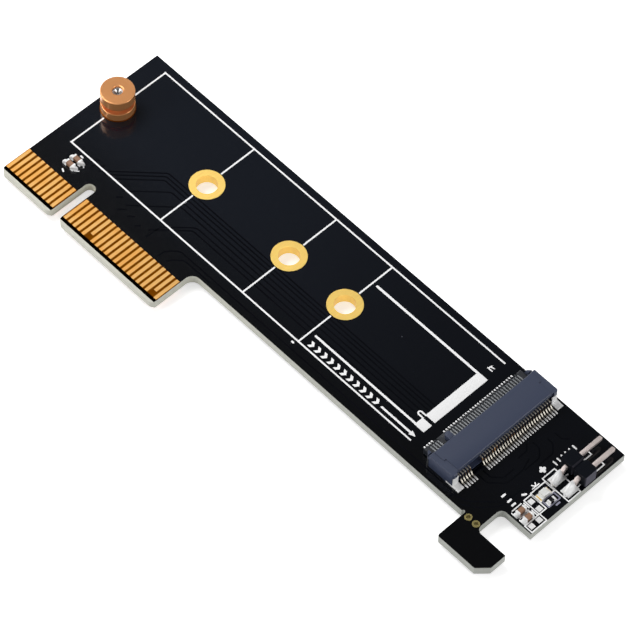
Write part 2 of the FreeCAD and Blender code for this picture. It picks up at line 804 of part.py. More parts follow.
def main():
    os.makedirs("parts", exist_ok=True)
    save(make_card(), "board")
    save(edge_contacts(top, short_above), "edge_contacts_top")
    save(edge_contacts(-copper_thick, short_below), "edge_contacts_bottom")
    for x, length in zip(hole_xs, module_lengths):
        save(plated_hole(x), "plated_hole_%d" % length)
    save(Part.makeCompound([plated_eyelet(x, y) for x, y in snap_centres()]), "hook_vias")

    far_hole = hole_xs[-1]
    save(make_standoff(far_hole, module_y), "standoff")
    save(make_screw(far_hole, module_y), "standoff_screw")

    save(make_socket_housing(), "socket_housing")
    save(Part.makeCompound([lower_contact(y) for y in lower_pin_ys()]), "socket_lower_contacts")
    save(Part.makeCompound([upper_contact(y) for y in upper_pin_ys()]), "socket_upper_contacts")
    save(socket_tab(-1), "socket_tab_near")
    save(socket_tab(1), "socket_tab_far")
    save(Part.makeCompound([tab_pad(-1), tab_pad(1)]), "socket_tab_pads")

    save(make_header_block(), "header_block")
    for number, x in enumerate(header_pins, 1):
        save(header_pin(x), "header_pin_%d" % number)
    save(header_pads(), "header_pads")

    lamp = from_corner(lamp_x, lamp_row_y)
    save(led_base(*lamp), "led_base")
    save(led_lens(*lamp), "led_lens")
    save(led_ends(*lamp), "led_ends")
    chips = [("resistor", chip_0402, from_corner(resistor_x, lamp_row_y), True)]
    for number, x in enumerate(filter_xs, 1):
        place = from_corner(x, filter_row_y)
        chips.append(("filter_capacitor_%d" % number, chip_0603, place, True))
    for number, (x, y) in enumerate(zip(finger_cap_xs, finger_cap_ys), 1):
        place = (x, near_edge + y)
        chips.append(("finger_capacitor_%d" % number, chip_0603, place, False))
    for name, size, (x, y), along_y in chips:
        save(chip_body(size, x, y, along_y), name)
        save(chip_ends(size, x, y, along_y), name + "_ends")
    pads = [chip_pads(size, x, y, along_y) for name, size, (x, y), along_y in chips]
    pads.append(chip_pads(chip_led, lamp[0], lamp[1], True))
    save(Part.makeCompound(pads), "chip_pads")
    save(bare_pads(), "bare_pads")


main()
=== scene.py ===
import sys
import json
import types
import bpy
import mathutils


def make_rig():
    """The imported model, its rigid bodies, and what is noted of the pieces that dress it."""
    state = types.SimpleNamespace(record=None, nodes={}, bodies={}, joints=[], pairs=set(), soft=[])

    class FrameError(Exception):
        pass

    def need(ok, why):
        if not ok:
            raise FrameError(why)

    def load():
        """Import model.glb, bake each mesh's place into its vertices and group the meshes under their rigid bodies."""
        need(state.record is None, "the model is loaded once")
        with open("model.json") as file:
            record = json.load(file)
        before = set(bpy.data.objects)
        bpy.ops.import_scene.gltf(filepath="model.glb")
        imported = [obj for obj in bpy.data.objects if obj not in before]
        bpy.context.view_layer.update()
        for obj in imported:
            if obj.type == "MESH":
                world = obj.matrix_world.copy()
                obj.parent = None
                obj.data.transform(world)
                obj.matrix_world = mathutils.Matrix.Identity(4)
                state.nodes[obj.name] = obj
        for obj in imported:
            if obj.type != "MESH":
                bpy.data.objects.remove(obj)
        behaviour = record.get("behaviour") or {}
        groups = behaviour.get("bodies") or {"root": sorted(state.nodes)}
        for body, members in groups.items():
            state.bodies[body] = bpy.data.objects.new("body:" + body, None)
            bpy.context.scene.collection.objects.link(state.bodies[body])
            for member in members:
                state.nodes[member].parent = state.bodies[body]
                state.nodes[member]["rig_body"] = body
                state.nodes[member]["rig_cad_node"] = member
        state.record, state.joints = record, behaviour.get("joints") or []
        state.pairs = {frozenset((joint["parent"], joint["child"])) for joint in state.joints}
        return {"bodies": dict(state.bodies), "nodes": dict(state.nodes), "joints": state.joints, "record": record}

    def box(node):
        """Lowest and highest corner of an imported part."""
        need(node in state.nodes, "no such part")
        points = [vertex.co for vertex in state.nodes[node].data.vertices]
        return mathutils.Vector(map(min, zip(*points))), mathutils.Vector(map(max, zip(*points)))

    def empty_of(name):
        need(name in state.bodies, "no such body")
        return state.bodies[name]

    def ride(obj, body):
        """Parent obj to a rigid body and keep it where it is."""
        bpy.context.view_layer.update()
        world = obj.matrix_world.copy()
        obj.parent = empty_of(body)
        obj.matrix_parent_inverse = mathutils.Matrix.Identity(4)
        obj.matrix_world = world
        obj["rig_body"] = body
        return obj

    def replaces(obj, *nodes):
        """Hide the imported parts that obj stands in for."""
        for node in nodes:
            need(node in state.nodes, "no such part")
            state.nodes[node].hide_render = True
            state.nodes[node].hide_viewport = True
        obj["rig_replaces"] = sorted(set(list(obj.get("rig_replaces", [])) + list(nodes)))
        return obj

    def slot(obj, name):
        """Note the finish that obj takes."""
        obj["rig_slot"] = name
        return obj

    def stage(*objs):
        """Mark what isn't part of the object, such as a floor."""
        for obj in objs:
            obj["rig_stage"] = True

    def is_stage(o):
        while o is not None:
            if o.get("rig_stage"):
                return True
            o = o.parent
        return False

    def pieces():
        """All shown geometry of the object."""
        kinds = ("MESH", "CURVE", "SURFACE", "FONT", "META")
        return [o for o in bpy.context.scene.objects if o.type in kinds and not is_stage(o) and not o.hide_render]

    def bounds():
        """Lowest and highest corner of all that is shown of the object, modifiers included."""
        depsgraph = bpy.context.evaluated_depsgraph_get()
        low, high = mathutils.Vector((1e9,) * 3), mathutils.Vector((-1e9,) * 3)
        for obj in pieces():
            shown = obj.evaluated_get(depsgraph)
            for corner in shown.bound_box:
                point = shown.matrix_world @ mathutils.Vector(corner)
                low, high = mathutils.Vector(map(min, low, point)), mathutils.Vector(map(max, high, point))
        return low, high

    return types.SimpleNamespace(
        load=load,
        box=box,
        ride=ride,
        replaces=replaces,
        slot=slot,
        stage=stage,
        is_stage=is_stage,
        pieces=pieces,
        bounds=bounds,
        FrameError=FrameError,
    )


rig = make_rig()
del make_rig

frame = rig.load()

import json
import math

import bpy
from bpy.props import FloatProperty, FloatVectorProperty, IntProperty, PointerProperty
from mathutils import Matrix, Vector

bl_info = {
    "name": "Drive Adapter Card Dressing",
    "version": (1, 0, 0),
    "blender": (4, 5, 0),
    "location": "3D View > Sidebar > Card",
    "description": "Dresses the packed adapter card: mask, print, solder, softened edges and light",
    "category": "Object",
}

cad_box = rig.bounds()
MM = 0.001
FINE = 1e-7                 # metres within which two places are one
PIN_PITCH = 0.5 * MM        # contacts of the drive socket, counted from its far end
PINS_BEFORE_KEY = 29
PINS_AT_KEY = 4

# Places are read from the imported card. The print plan counts in millimetres from the centre
# of the nearest module hole, with X along the card and Y across it.
board_low, board_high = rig.box("board")
FACE = board_high.z


def middle_of(node):
    low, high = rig.box(node)
    return (low + high) / 2


def middle_of_mount(name):
    """Place of one of the record's mounts."""
    places = [mount["pos_m"] for mount in frame["record"]["mounts"] if mount["name"] == name]
    return Vector(places[0])


plan_zero = middle_of("plated_hole_30")
hole_places = {name: middle_of("plated_hole_" + name) for name in ("30", "42", "60", "80")}
ring_radius = (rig.box("plated_hole_30")[1].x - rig.box("plated_hole_30")[0].x) / 2


def plan(x, y, lift=0.0):
    """Point on the card's face, from millimetres in the print plan."""
    return Vector((plan_zero.x + x * MM, plan_zero.y + y * MM, FACE + lift))


def in_plan(point):
    """The print plan's millimetres for a point of the frame."""
    return ((point.x - plan_zero.x) / MM, (point.y - plan_zero.y) / MM)


def display(red, green, blue):
    """Colour in display steps of 0 to 255, as the linear values that a shader takes."""
    linear = []
    for step in (red, green, blue):
        share = step / 255
        linear.append(share / 12.92 if share <= 0.04045 else ((share + 0.055) / 1.055) ** 2.4)
    return (*linear, 1.0)


def tint(name, description, *steps):
    """Colour setting, given in display steps of 0 to 255."""
    return FloatVectorProperty(name=name, description=description, subtype="COLOR", size=4,
                               min=0.0, max=1.0, default=display(*steps))


def span(name, description, default):
    """Length setting, given in millimetres."""
    return FloatProperty(name=name, description=description, default=default * MM, min=0.0,
                         subtype="DISTANCE", unit="LENGTH", precision=6)


# ------------------------------------------------------------------ settings
class CardColours(bpy.types.PropertyGroup):
    # Mask, Far mask and Black mask hold a painted reflection gradient: lighter at the finger's end, darker at the
    # hook's end and towards the finger's edge.
    mask: tint("Mask", "Solder mask at the finger's end", 20, 24, 32)
    mask_far: tint("Far mask", "Solder mask at the hook's end", 6, 8, 14)
    mask_gap: tint("Mask gap", "Mask over the gaps beside the tracks", 15, 16, 20)
    mask_black: tint("Black mask", "Solder mask along the finger's edge", 1.2, 1.5, 2.6)
    dust: tint("Dust", "Specks on the mask", 70, 72, 80)
    floor: tint("Floor", "Floor under the card", 236, 236, 236)
    laminate: tint("Laminate", "Glass-epoxy at the cut edges", 212, 211, 198)
    fibre: tint("Fibre", "Darker glass bundles in the laminate", 96, 96, 84)
    # Painted shade: the laminate darkens to this colour towards the hook's end.
    laminate_far: tint("Far laminate", "Glass-epoxy at the hook's end", 180, 182, 176)
    resin: tint("Resin", "Bare resin between the edge contacts", 112, 60, 3)
    resin_black: tint("Black resin", "Bare resin ahead of the contacts", 2.6, 2, 1.3)
    # Painted shade at the contacts' long edges, and painted shadow on the ring under the standoff.
    border: tint("Border", "Etched borders of the contacts", 132, 78, 14)
    print_white: tint("Print", "White print", 254, 254, 255)
    print_faint: tint("Faint print", "Thin print round the resistor", 150, 150, 170)
    gold: tint("Gold", "Plating on the edge contacts", 212, 166, 100)
    ring_gold: tint("Ring gold", "Plating on the module rings", 250, 212, 118)
    copper: tint("Copper", "Turned standoff", 238, 166, 106)
    steel: tint("Steel", "Screw and tabs", 214, 214, 214)
    socket: tint("Socket", "Moulded socket", 53, 61, 83)
    socket_shade: tint("Socket shade", "Ribs between the front contacts", 26, 30, 38)
    spring: tint("Spring", "Socket contacts at the rear", 238, 232, 218)
    nickel: tint("Nickel", "Socket contacts at the front", 152, 155, 158)
    # Painted shade on the contacts' legs.
    shaded_leg: tint("Shaded leg", "Dull part of a contact's leg", 46, 34, 26)
    bronze: tint("Bronze", "Bare bends of the socket contacts", 214, 160, 100)
    solder: tint("Solder", "Reflowed solder", 254, 254, 254)
    header: tint("Header", "Moulded header", 6, 10, 18)
    header_end: tint("Header end", "Lit end of the header", 72, 71, 82)
    pin: tint("Pin", "Header pins", 206, 194, 190)
    ceramic: tint("Ceramic", "Capacitor bodies", 150, 112, 86)
    film: tint("Film", "Resistor film", 20, 20, 24)
    lamp: tint("Lamp", "Lamp resin", 246, 247, 238)
    eyelet: tint("Eyelet", "Plating under mask at the hook", 158, 146, 96)


class CardPrint(bpy.types.PropertyGroup):
    line: span("Line", "Width of the module outline", 0.27)
    heavy: span("Heavy line", "Width of the key drawing's lines", 0.4)
    fine: span("Fine line", "Width of the part outlines", 0.2)
    rise: span("Rise", "Height of the ink above the mask", 0.018)
    layer: span("Layer", "Step between crossing lines", 0.003)
    far_line: span("Far line", "Hole line to the outline's far side", 9.9)
    near_line: span("Near line", "Hole line to the outline's near side", 9.61)
    ring_gap: span("Ring gap", "Space between a cross line and its ring", 0.1)


class CardTracks(bpy.types.PropertyGroup):
    gap: span("Gap", "Width of a gap beside a track", 0.24)
    rise: span("Rise", "Height of the drawn gap above the mask", 0.004)
    turn_steps: IntProperty(name="Turn steps", description="Flats in a rounded turn", default=7)


class CardFinger(bpy.types.PropertyGroup):
    key_half: span("Key half", "Key notch's middle to the resin beside it", 1.02)
    bare_strip: span("Bare strip", "Resin ahead of the contacts", 0.52)
    bevel_start: span("Bevel start", "Connector edge to the top of its bevel", 0.7)
    bevel_slope: FloatProperty(name="Bevel slope", description="Fall of the bevel for its depth",
                               default=0.4)
    mask_lap: span("Mask lap", "Contacts' length that the mask covers", 0.05)
    corner: span("Corner", "Rounding of the resin's corners", 0.1)
    rise: span("Rise", "Height of the resin above the core", 0.02)


class CardSolder(bpy.types.PropertyGroup):
    foot_rise: span("Foot fillet", "Height of a fillet at a contact's foot", 0.17)
    foot_margin: span("Foot margin", "Fillet beyond the foot", 0.1)
    mound_rise: span("Mound", "Height of the header's solder", 1.0)


class CardEdges(bpy.types.PropertyGroup):
    moulded: span("Moulded edge", "Rounding of the socket's edges", 0.05)
    small: span("Small edge", "Rounding of chips, pins and tabs", 0.035)


class CardPost(bpy.types.PropertyGroup):
    neck_radius: span("Neck", "Radius at the bottom of the groove", 1.65)
    bore_radius: span("Bore", "Radius of the threaded bore", 0.8)
    seat: span("Seat", "The groove's lower side above the card", 1.6)
    groove: span("Groove", "Height of the groove", 1.0)
    head_round: span("Head rounding", "Rounding of the head's top edge", 0.14)
    mouth: span("Mouth", "Countersink of the bore", 0.22)
    edge: span("Edge", "Rounding of the other edges", 0.12)


class CardLight(bpy.types.PropertyGroup):
    walls: FloatProperty(name="Walls", description="Brightness of the room's walls", default=0.8)
    ceiling: FloatProperty(name="Ceiling", description="Brightness overhead", default=0.08)
    floor: FloatProperty(name="Floor", description="Light of the floor itself", default=0.62)
    key: FloatProperty(name="Key", description="Power of the large lamp", default=1.5, unit="POWER")
    side: FloatProperty(name="Side", description="Power of each side lamp", default=0.5, unit="POWER")


def colours():
    return bpy.context.scene.card_colours


def ink():
    return bpy.context.scene.card_print


# ------------------------------------------------------------------ shader groups
def group_sockets(name, inputs, outputs):
    """New shader group with its named sockets, and its input and output nodes."""
    tree = bpy.data.node_groups.new(name, "ShaderNodeTree")
    for label, kind, value in inputs:
        socket = tree.interface.new_socket(label, in_out="INPUT", socket_type=kind)
        socket.default_value = value
    for label, kind in outputs:
        tree.interface.new_socket(label, in_out="OUTPUT", socket_type=kind)
    return tree, tree.nodes.new("NodeGroupInput"), tree.nodes.new("NodeGroupOutput")


def feed(tree, socket, value):
    """Gives an input another node's output, or a plain value."""
    if isinstance(value, bpy.types.NodeSocket):
        tree.links.new(value, socket)
    else:
        socket.default_value = value


def math_node(tree, operation, first, second=None, third=None, clamp=False):
    """Math node whose inputs are sockets or plain numbers; returns its output."""
    node = tree.nodes.new("ShaderNodeMath")
    node.operation = operation
    node.use_clamp = clamp
    for index, value in enumerate((first, second, third)):
        if value is not None:
            feed(tree, node.inputs[index], value)
    return node.outputs[0]


def mix_colour(tree, factor, first, second):
    """Colour mixed from two sockets or colours by a factor."""
    node = tree.nodes.new("ShaderNodeMix")
    node.data_type = "RGBA"
    for index, value in ((0, factor), (6, first), (7, second)):
        feed(tree, node.inputs[index], value)
    return node.outputs[2]


def object_point(tree):
    return tree.nodes.new("ShaderNodeTexCoord").outputs["Object"]


def facing(tree):
    return split(tree, tree.nodes.new("ShaderNodeTexCoord").outputs["Normal"])


def split(tree, vector):
    node = tree.nodes.new("ShaderNodeSeparateXYZ")
    tree.links.new(vector, node.inputs[0])
    return node.outputs


def vector_node(tree, operation, first, second=None, output="Vector"):
    node = tree.nodes.new("ShaderNodeVectorMath")
    node.operation = operation
    feed(tree, node.inputs[0], first)
    if second is not None:
        feed(tree, node.inputs[1], second)
    return node.outputs[output]


def noise(tree, vector, scale, detail=3.0, rough=0.55):
    node = tree.nodes.new("ShaderNodeTexNoise")
    for label, value in (("Vector", vector), ("Scale", scale), ("Detail", detail),
                         ("Roughness", rough)):
        feed(tree, node.inputs[label], value)
    return node.outputs["Fac"]


def ramp(tree, value, start, stop, first=0.0, last=1.0):
    """Smooth change from first to last while the value runs from start to stop."""
    node = tree.nodes.new("ShaderNodeMapRange")
    node.interpolation_type = "SMOOTHSTEP"
    tree.links.new(value, node.inputs["Value"])
    for label, number in (("From Min", start), ("From Max", stop), ("To Min", first),
                          ("To Max", last)):
        node.inputs[label].default_value = number
    return node.outputs["Result"]


def uneven_group(name, scale, amount, detail, stretch):
    """Effect group: a mask about one half that moves by Amount, its grain shaped by stretch."""
    tree, given, put = group_sockets(
        name, [("Scale", "NodeSocketFloat", scale), ("Amount", "NodeSocketFloat", amount)],
        [("Mask", "NodeSocketFloat")])
    grain = noise(tree, vector_node(tree, "MULTIPLY", object_point(tree), stretch),
                  given.outputs["Scale"], detail, 0.6)
    swing = math_node(tree, "SUBTRACT", grain, 0.5)
    moved = math_node(tree, "MULTIPLY_ADD", swing, given.outputs["Amount"], 0.5, clamp=True)
    tree.links.new(moved, put.inputs["Mask"])
    return tree


def fine_grain():
    """Small even grain."""
    return uneven_group("Fine grain", 4000.0, 0.2, 4.0, (1.0, 1.0, 1.0))


def drawn_streaks():
    """Streaks along Y, as rolling and polishing leave on flat metal."""
    return uneven_group("Drawn streaks", 1.0, 0.3, 3.0, (9000.0, 350.0, 2000.0))


def turning_marks():
    """Rings about a vertical axis, as a lathe tool leaves on a face."""
    tree, given, put = group_sockets(
        "Turning marks",
        [("Centre", "NodeSocketVector", (0.0, 0.0, 0.0)), ("Pitch", "NodeSocketFloat", 0.00012)],
        [("Height", "NodeSocketFloat")])
    offset = vector_node(tree, "SUBTRACT", object_point(tree), given.outputs["Centre"])
    flat = vector_node(tree, "MULTIPLY", offset, (1.0, 1.0, 0.0))
    length = vector_node(tree, "LENGTH", flat, output="Value")
    turns = math_node(tree, "DIVIDE", length, given.outputs["Pitch"])
    wave = math_node(tree, "SINE", math_node(tree, "MULTIPLY", turns, 2 * math.pi))
    uneven = noise(tree, flat, 2500.0, 2.0)
    height = math_node(tree, "MULTIPLY_ADD", uneven, 1.2, math_node(tree, "MULTIPLY", wave, 0.5))
    tree.links.new(height, put.inputs["Height"])
    return tree


def dust_specks():
    """Scattered small specks: one inside a speck and nought elsewhere."""
    tree, given, put = group_sockets(
        "Dust specks",
        [("Spacing", "NodeSocketFloat", 260.0), ("Size", "NodeSocketFloat", 0.05)],
        [("Mask", "NodeSocketFloat")])
    cells = tree.nodes.new("ShaderNodeTexVoronoi")
    tree.links.new(object_point(tree), cells.inputs["Vector"])
    tree.links.new(given.outputs["Spacing"], cells.inputs["Scale"])
    mask = math_node(tree, "LESS_THAN", cells.outputs["Distance"], given.outputs["Size"])
    tree.links.new(mask, put.inputs["Mask"])
    return tree


SHADER_GROUPS = {"grain": fine_grain, "streaks": drawn_streaks, "turning": turning_marks,
                 "specks": dust_specks}
built_groups = {}


def place_group(tree, key, **values):
    """The named effect placed in a material, with its own values."""
    if key not in built_groups:
        built_groups[key] = SHADER_GROUPS[key]()
    node = tree.nodes.new("ShaderNodeGroup")
    node.node_tree = built_groups[key]
    for label, value in values.items():
        node.inputs[label].default_value = value
    return node.outputs[0]


# ------------------------------------------------------------------ materials
def begin_finish(name, roughness, metallic=0.0, **shader_values):
    material = bpy.data.materials.new(name)
    material.use_nodes = True
    tree = material.node_tree
    shader = tree.nodes["Principled BSDF"]
    shader.inputs["Roughness"].default_value = roughness
    shader.inputs["Metallic"].default_value = metallic
    for label, value in shader_values.items():
        shader.inputs[label.replace("_", " ")].default_value = value
    return material, tree, shader


def tones(tree, mask, colour, low, high):
    """Colour that moves between a darker and a lighter tone of one colour."""
    dark = (*[c * low for c in colour[:3]], 1.0)
    light = (*[min(1.0, c * high) for c in colour[:3]], 1.0)
    return mix_colour(tree, mask, dark, light)


def paint(tree, shader, colour):
    tree.links.new(colour, shader.inputs["Base Color"])


def rough_by(tree, shader, mask, low, high):
    spread = math_node(tree, "MULTIPLY_ADD", mask, high - low, low)
    tree.links.new(spread, shader.inputs["Roughness"])


def raised_by(tree, shader, height, distance):
    bump = tree.nodes.new("ShaderNodeBump")
    bump.inputs["Distance"].default_value = distance
    tree.links.new(height, bump.inputs["Height"])
    tree.links.new(bump.outputs["Normal"], shader.inputs["Normal"])


def board_finish():
    """Glossy mask on the faces and layered laminate on the cuts, with painted reflection and shade: both lighter at
    the finger's end and darker at the hook's end, the mask also darker towards the finger's edge.
    """
    material, tree, shader = begin_finish("card_mask_and_laminate", 0.12)
    tone = colours()
    point = object_point(tree)
    place = split(tree, point)
    cut = math_node(tree, "LESS_THAN", math_node(tree, "ABSOLUTE", facing(tree)[2]), 0.97)
    # Painted reflection and shade along the card, from the finger's end to the hook's end; the noise adds random tone.
    along = ramp(tree, place[0], plan(-46, 0).x, plan(44, 0).x)
    uneven = math_node(tree, "MULTIPLY_ADD", noise(tree, point, 45.0, 2.0), 0.3, along)
    wide = mix_colour(tree, math_node(tree, "SUBTRACT", uneven, 0.15, clamp=True), tone.mask,
                      tone.mask_far)
    # Painted reflection: the mask darkens towards the finger's edge.
    near = ramp(tree, place[1], plan(0, -15).y, plan(0, -1).y, 0.2, 1.0)
    specks = place_group(tree, "specks", Spacing=170.0, Size=0.018)
    dusty = mix_colour(tree, specks, mix_colour(tree, near, tone.mask_black, wide), tone.dust)
    layers = noise(tree, vector_node(tree, "MULTIPLY", point, (500.0, 500.0, 9000.0)), 1.0)
    fibres = noise(tree, vector_node(tree, "MULTIPLY", point, (6000.0, 6000.0, 2500.0)), 1.0, 2.0)
    weave = math_node(tree, "MULTIPLY_ADD", fibres, 0.35, math_node(tree, "MULTIPLY", layers, 0.65))
    # Painted shade: the laminate darker towards the hook's end.
    resin = mix_colour(tree, along, tone.laminate, tone.laminate_far)
    bundles = math_node(tree, "MULTIPLY_ADD", weave, 0.4, -0.1, clamp=True)
    glass = mix_colour(tree, bundles, resin, tone.fibre)
    paint(tree, shader, mix_colour(tree, cut, dusty, glass))

    cut_roughness = 0.62
    orange_peel = noise(tree, point, 1100.0, 2.0)
    smooth = math_node(tree, "MULTIPLY_ADD", orange_peel, 0.05, 0.1)
    soft = math_node(tree, "MULTIPLY", cut, cut_roughness)
    tree.links.new(math_node(tree, "MAXIMUM", smooth, soft), shader.inputs["Roughness"])
    raised_by(tree, shader, orange_peel, 0.002 * MM)
    return material


def gap_finish():
    """Mask sunk into the gaps beside the copper tracks."""
    material, tree, shader = begin_finish("mask_over_gaps", 0.6, Specular_IOR_Level=0.0)
    wander = noise(tree, object_point(tree), 160.0, 2.0)
    paint(tree, shader, tones(tree, wander, colours().mask_gap, 0.6, 1.3))
    return material


def resin_finish():
    """Brown resin between the contacts that turns black ahead of them."""
    material, tree, shader = begin_finish("bare_resin", 0.7, Specular_IOR_Level=0.0)
    point = object_point(tree)
    brown = tones(tree, noise(tree, point, 1800.0, 2.0), colours().resin, 0.7, 1.3)
    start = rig.box("edge_contacts_top")[0].y
    among = ramp(tree, split(tree, point)[1], start - 0.1 * MM, start + 0.15 * MM)
    paint(tree, shader, mix_colour(tree, among, colours().resin_black, brown))
    return material


def grained_finish(name, colour, rough, tone, effect, rise, metallic=0.0, recolour=None,
                   **shader_values):
    """Finish whose tone, gloss and height all follow one effect.

    rough and tone hold what the effect moves between, effect its group and values, rise its
    height in millimetres, and recolour the function that changes the colour by place.
    """
    material, tree, shader = begin_finish(name, rough[0], metallic, **shader_values)
    mask = place_group(tree, effect[0], **effect[1])
    body = tones(tree, mask, colour, *tone)
    paint(tree, shader, recolour(tree, body) if recolour else body)
    rough_by(tree, shader, mask, *rough)
    if rise:
        raised_by(tree, shader, mask, rise * MM)
    return material


def grain_of(scale, amount=1.0):
    return "grain", {"Scale": scale, "Amount": amount}


def plating_finish(name, colour, roughness, recolour=None):
    """Satin gold plating with faint polishing streaks."""
    return grained_finish(name, colour, (roughness - 0.07, roughness + 0.1), (0.86, 1.08),
                          ("streaks", {"Amount": 1.0}), 0.0015, 1.0, recolour)


def copper_finish():
    """Turned copper with tool rings about the standoff's axis."""
    material, tree, shader = begin_finish("turned_copper", 0.3, 0.6)
    axis = middle_of("standoff")
    rings = place_group(tree, "turning", Centre=(axis.x, axis.y, 0.0), Pitch=0.16 * MM)
    shade = math_node(tree, "MULTIPLY_ADD", rings, 0.3, 0.4, clamp=True)
    paint(tree, shader, tones(tree, shade, colours().copper, 0.92, 1.06))
    rough_by(tree, shader, shade, 0.18, 0.28)
    raised_by(tree, shader, rings, 0.001 * MM)
    return material


def metal_finish(name, colour, low, high, scale=3000.0, rise=0.002, metallic=1.0):
    """Bright metal, uneven in tone and gloss."""
    return grained_finish(name, colour, (low, high), (0.85, 1.08), grain_of(scale), rise, metallic)


def spring_finish(name, colour, leg_low, leg_high):
    """Contacts: bright plated feet, and legs darkened by painted shade, with coppery patches.

    The painted shade on a leg lies between two heights above the card, in millimetres.
    """
    material, tree, shader = begin_finish(name, 0.35, 0.7)
    point = object_point(tree)
    height = split(tree, point)[2]
    low = FACE + leg_low * MM
    high = FACE + leg_high * MM
    blend = 0.1 * MM
    # Painted shade: a band up each leg between the two heights.
    leg = math_node(tree, "MULTIPLY", ramp(tree, height, low - blend, low + blend),
                    ramp(tree, height, high - blend, high + blend, 1.0, 0.0))
    patches = ramp(tree, noise(tree, point, 260.0, 2.0), 0.56, 0.7)
    bare = mix_colour(tree, patches, colours().shaded_leg, colours().bronze)
    paint(tree, shader, mix_colour(tree, leg, colour, bare))
    grain = place_group(tree, "grain", Scale=1500.0, Amount=1.0)
    rough_by(tree, shader, grain, 0.3, 0.45)
    return material


def ceramic_finish(name, colour, low, high, coat=0.0):
    """Fired or glazed ceramic with a mottled body."""
    return grained_finish(name, colour, (low, high), (0.7, 1.2), grain_of(2600.0), 0.003,
                          Coat_Weight=coat)


finishes = {}


def plastic_finish(name, colour, low, high, recolour, **shader_values):
    """Moulded plastic with a fine grain."""
    return grained_finish(name, colour, (low, high), (0.9, 1.1), grain_of(6500.0, 0.9), 0.004,
                          recolour=recolour, **shader_values)


def bordered(tree, gold):
    """Contacts' gold with warmer patches, and painted shade darkening it towards the long edges."""
    point = object_point(tree)
    turns = math_node(tree, "FRACT", math_node(tree, "DIVIDE", split(tree, point)[0], 1.0 * MM))
    aside = math_node(tree, "ABSOLUTE", math_node(tree, "SUBTRACT", turns, 0.5))
    warm = (*[c * share for c, share in zip(colours().gold, (0.96, 0.84, 0.66))], 1.0)
    patches = ramp(tree, noise(tree, point, 240.0), 0.4, 0.62)
    face = mix_colour(tree, patches, gold, warm)
    # Painted shade along each contact's long edges.
    return mix_colour(tree, ramp(tree, aside, 0.24, 0.32), face, colours().border)


def lit_end(tree, black):
    """Header's black, greyer at the end that faces the light."""
    end = ramp(tree, facing(tree)[0], 0.6, 0.9)
    return mix_colour(tree, end, black, colours().header_end)


def shaded_ribs(tree, slate):
    """Socket's slate, in shade where the lower jaw's ribs stand between the contacts."""
    place = split(tree, object_point(tree))
    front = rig.box("socket_lower_contacts")[0].x
    ahead = ramp(tree, place[0], front + 2.6 * MM, front + 2.8 * MM, 1.0, 0.0)
    low = ramp(tree, place[2], FACE + 1.6 * MM, FACE + 1.8 * MM, 1.0, 0.0)
    jaw = math_node(tree, "MULTIPLY", ahead, low)
    return mix_colour(tree, jaw, slate, colours().socket_shade)


def finish(name):
    """The named finish, made when it is first asked for."""
    tone = colours()
    makers = {
        "board": board_finish,
        "gap": gap_finish,
        "resin": resin_finish,
        "print": lambda: grained_finish("white_print", tone.print_white, (0.55, 0.55),
                                        (0.95, 1.04), grain_of(5200.0, 0.9), 0.004),
        "thin_print": lambda: grained_finish("thin_print", tone.print_faint, (0.5, 0.5),
                                             (0.6, 1.2), grain_of(3800.0), 0.0),
        "gold": lambda: plating_finish("gold_contacts", tone.gold, 0.42, bordered),
        # Painted shadow: the ring under the standoff takes the darker gold shade colour.
        "shaded_ring": lambda: plating_finish("ring_under_standoff", tone.border, 0.5),
        "ring": lambda: plating_finish("gold_rings", tone.ring_gold, 0.44),
        "eyelet": lambda: plating_finish("masked_eyelets", tone.eyelet, 0.4),
        "copper": copper_finish,
        "steel": lambda: metal_finish("plated_steel", tone.steel, 0.2, 0.35),
        "tabs": lambda: metal_finish("tinned_tabs", tone.solder, 0.3, 0.45, metallic=0.1),
        "solder": lambda: metal_finish("solder", tone.solder, 0.24, 0.4, 1800.0, 0.01, 0.1),
        "pin": lambda: metal_finish("header_pins", tone.pin, 0.4, 0.5, metallic=0.7),
        "socket": lambda: plastic_finish("socket_plastic", tone.socket, 0.36, 0.5, shaded_ribs),
        "header": lambda: plastic_finish("header_plastic", tone.header, 0.5, 0.65, lit_end,
                                         Specular_IOR_Level=0.08),
        "front_spring": lambda: spring_finish("front_contacts", tone.nickel, 0.3, 0.9),
        "rear_spring": lambda: spring_finish("rear_contacts", tone.spring, 0.7, 1.3),
        "ceramic": lambda: ceramic_finish("capacitor_ceramic", tone.ceramic, 0.4, 0.6),
        "film": lambda: ceramic_finish("resistor_film", tone.film, 0.15, 0.3, 0.5),
        "lamp": lambda: ceramic_finish("lamp_resin", tone.lamp, 0.12, 0.25, 0.6),
        "lamp_base": lambda: ceramic_finish("lamp_base", tone.lamp, 0.45, 0.6),
    }
    if name not in finishes:
        finishes[name] = makers[name]()
    return finishes[name]


# ------------------------------------------------------------------ modelling helpers
def leave_edit():
    if bpy.context.mode != "OBJECT":
        bpy.ops.object.mode_set(mode="OBJECT")


def clear_selection():
    leave_edit()
    bpy.ops.object.select_all(action="DESELECT")


def select_only(*pieces):
    clear_selection()
    for piece in pieces:
        piece.select_set(True)
    bpy.context.view_layer.objects.active = pieces[-1]


def add_primitive(name, add, **values):
    """The piece that one of Blender's operators adds, under its own name."""
    clear_selection()
    add(**values)
    piece = bpy.context.object
    piece.name = name
    return piece


def link_object(name, data):
    """New object in the scene that shows the given mesh, lamp or camera."""
    piece = bpy.data.objects.new(name, data)
    bpy.context.scene.collection.objects.link(piece)
    return piece


def settle(piece):
    """Puts the piece's place and turn into its mesh."""
    select_only(piece)
    bpy.ops.object.transform_apply(location=True, rotation=True, scale=True)


def start_block(name, low, high, turn=0.0):
    """Block between two corners, turned about its own middle."""
    low = Vector(low)
    high = Vector(high)
    piece = add_primitive(name, bpy.ops.mesh.primitive_cube_add, size=1.0,
                          location=(low + high) / 2, rotation=(0, 0, turn), scale=high - low)
    settle(piece)
    return piece


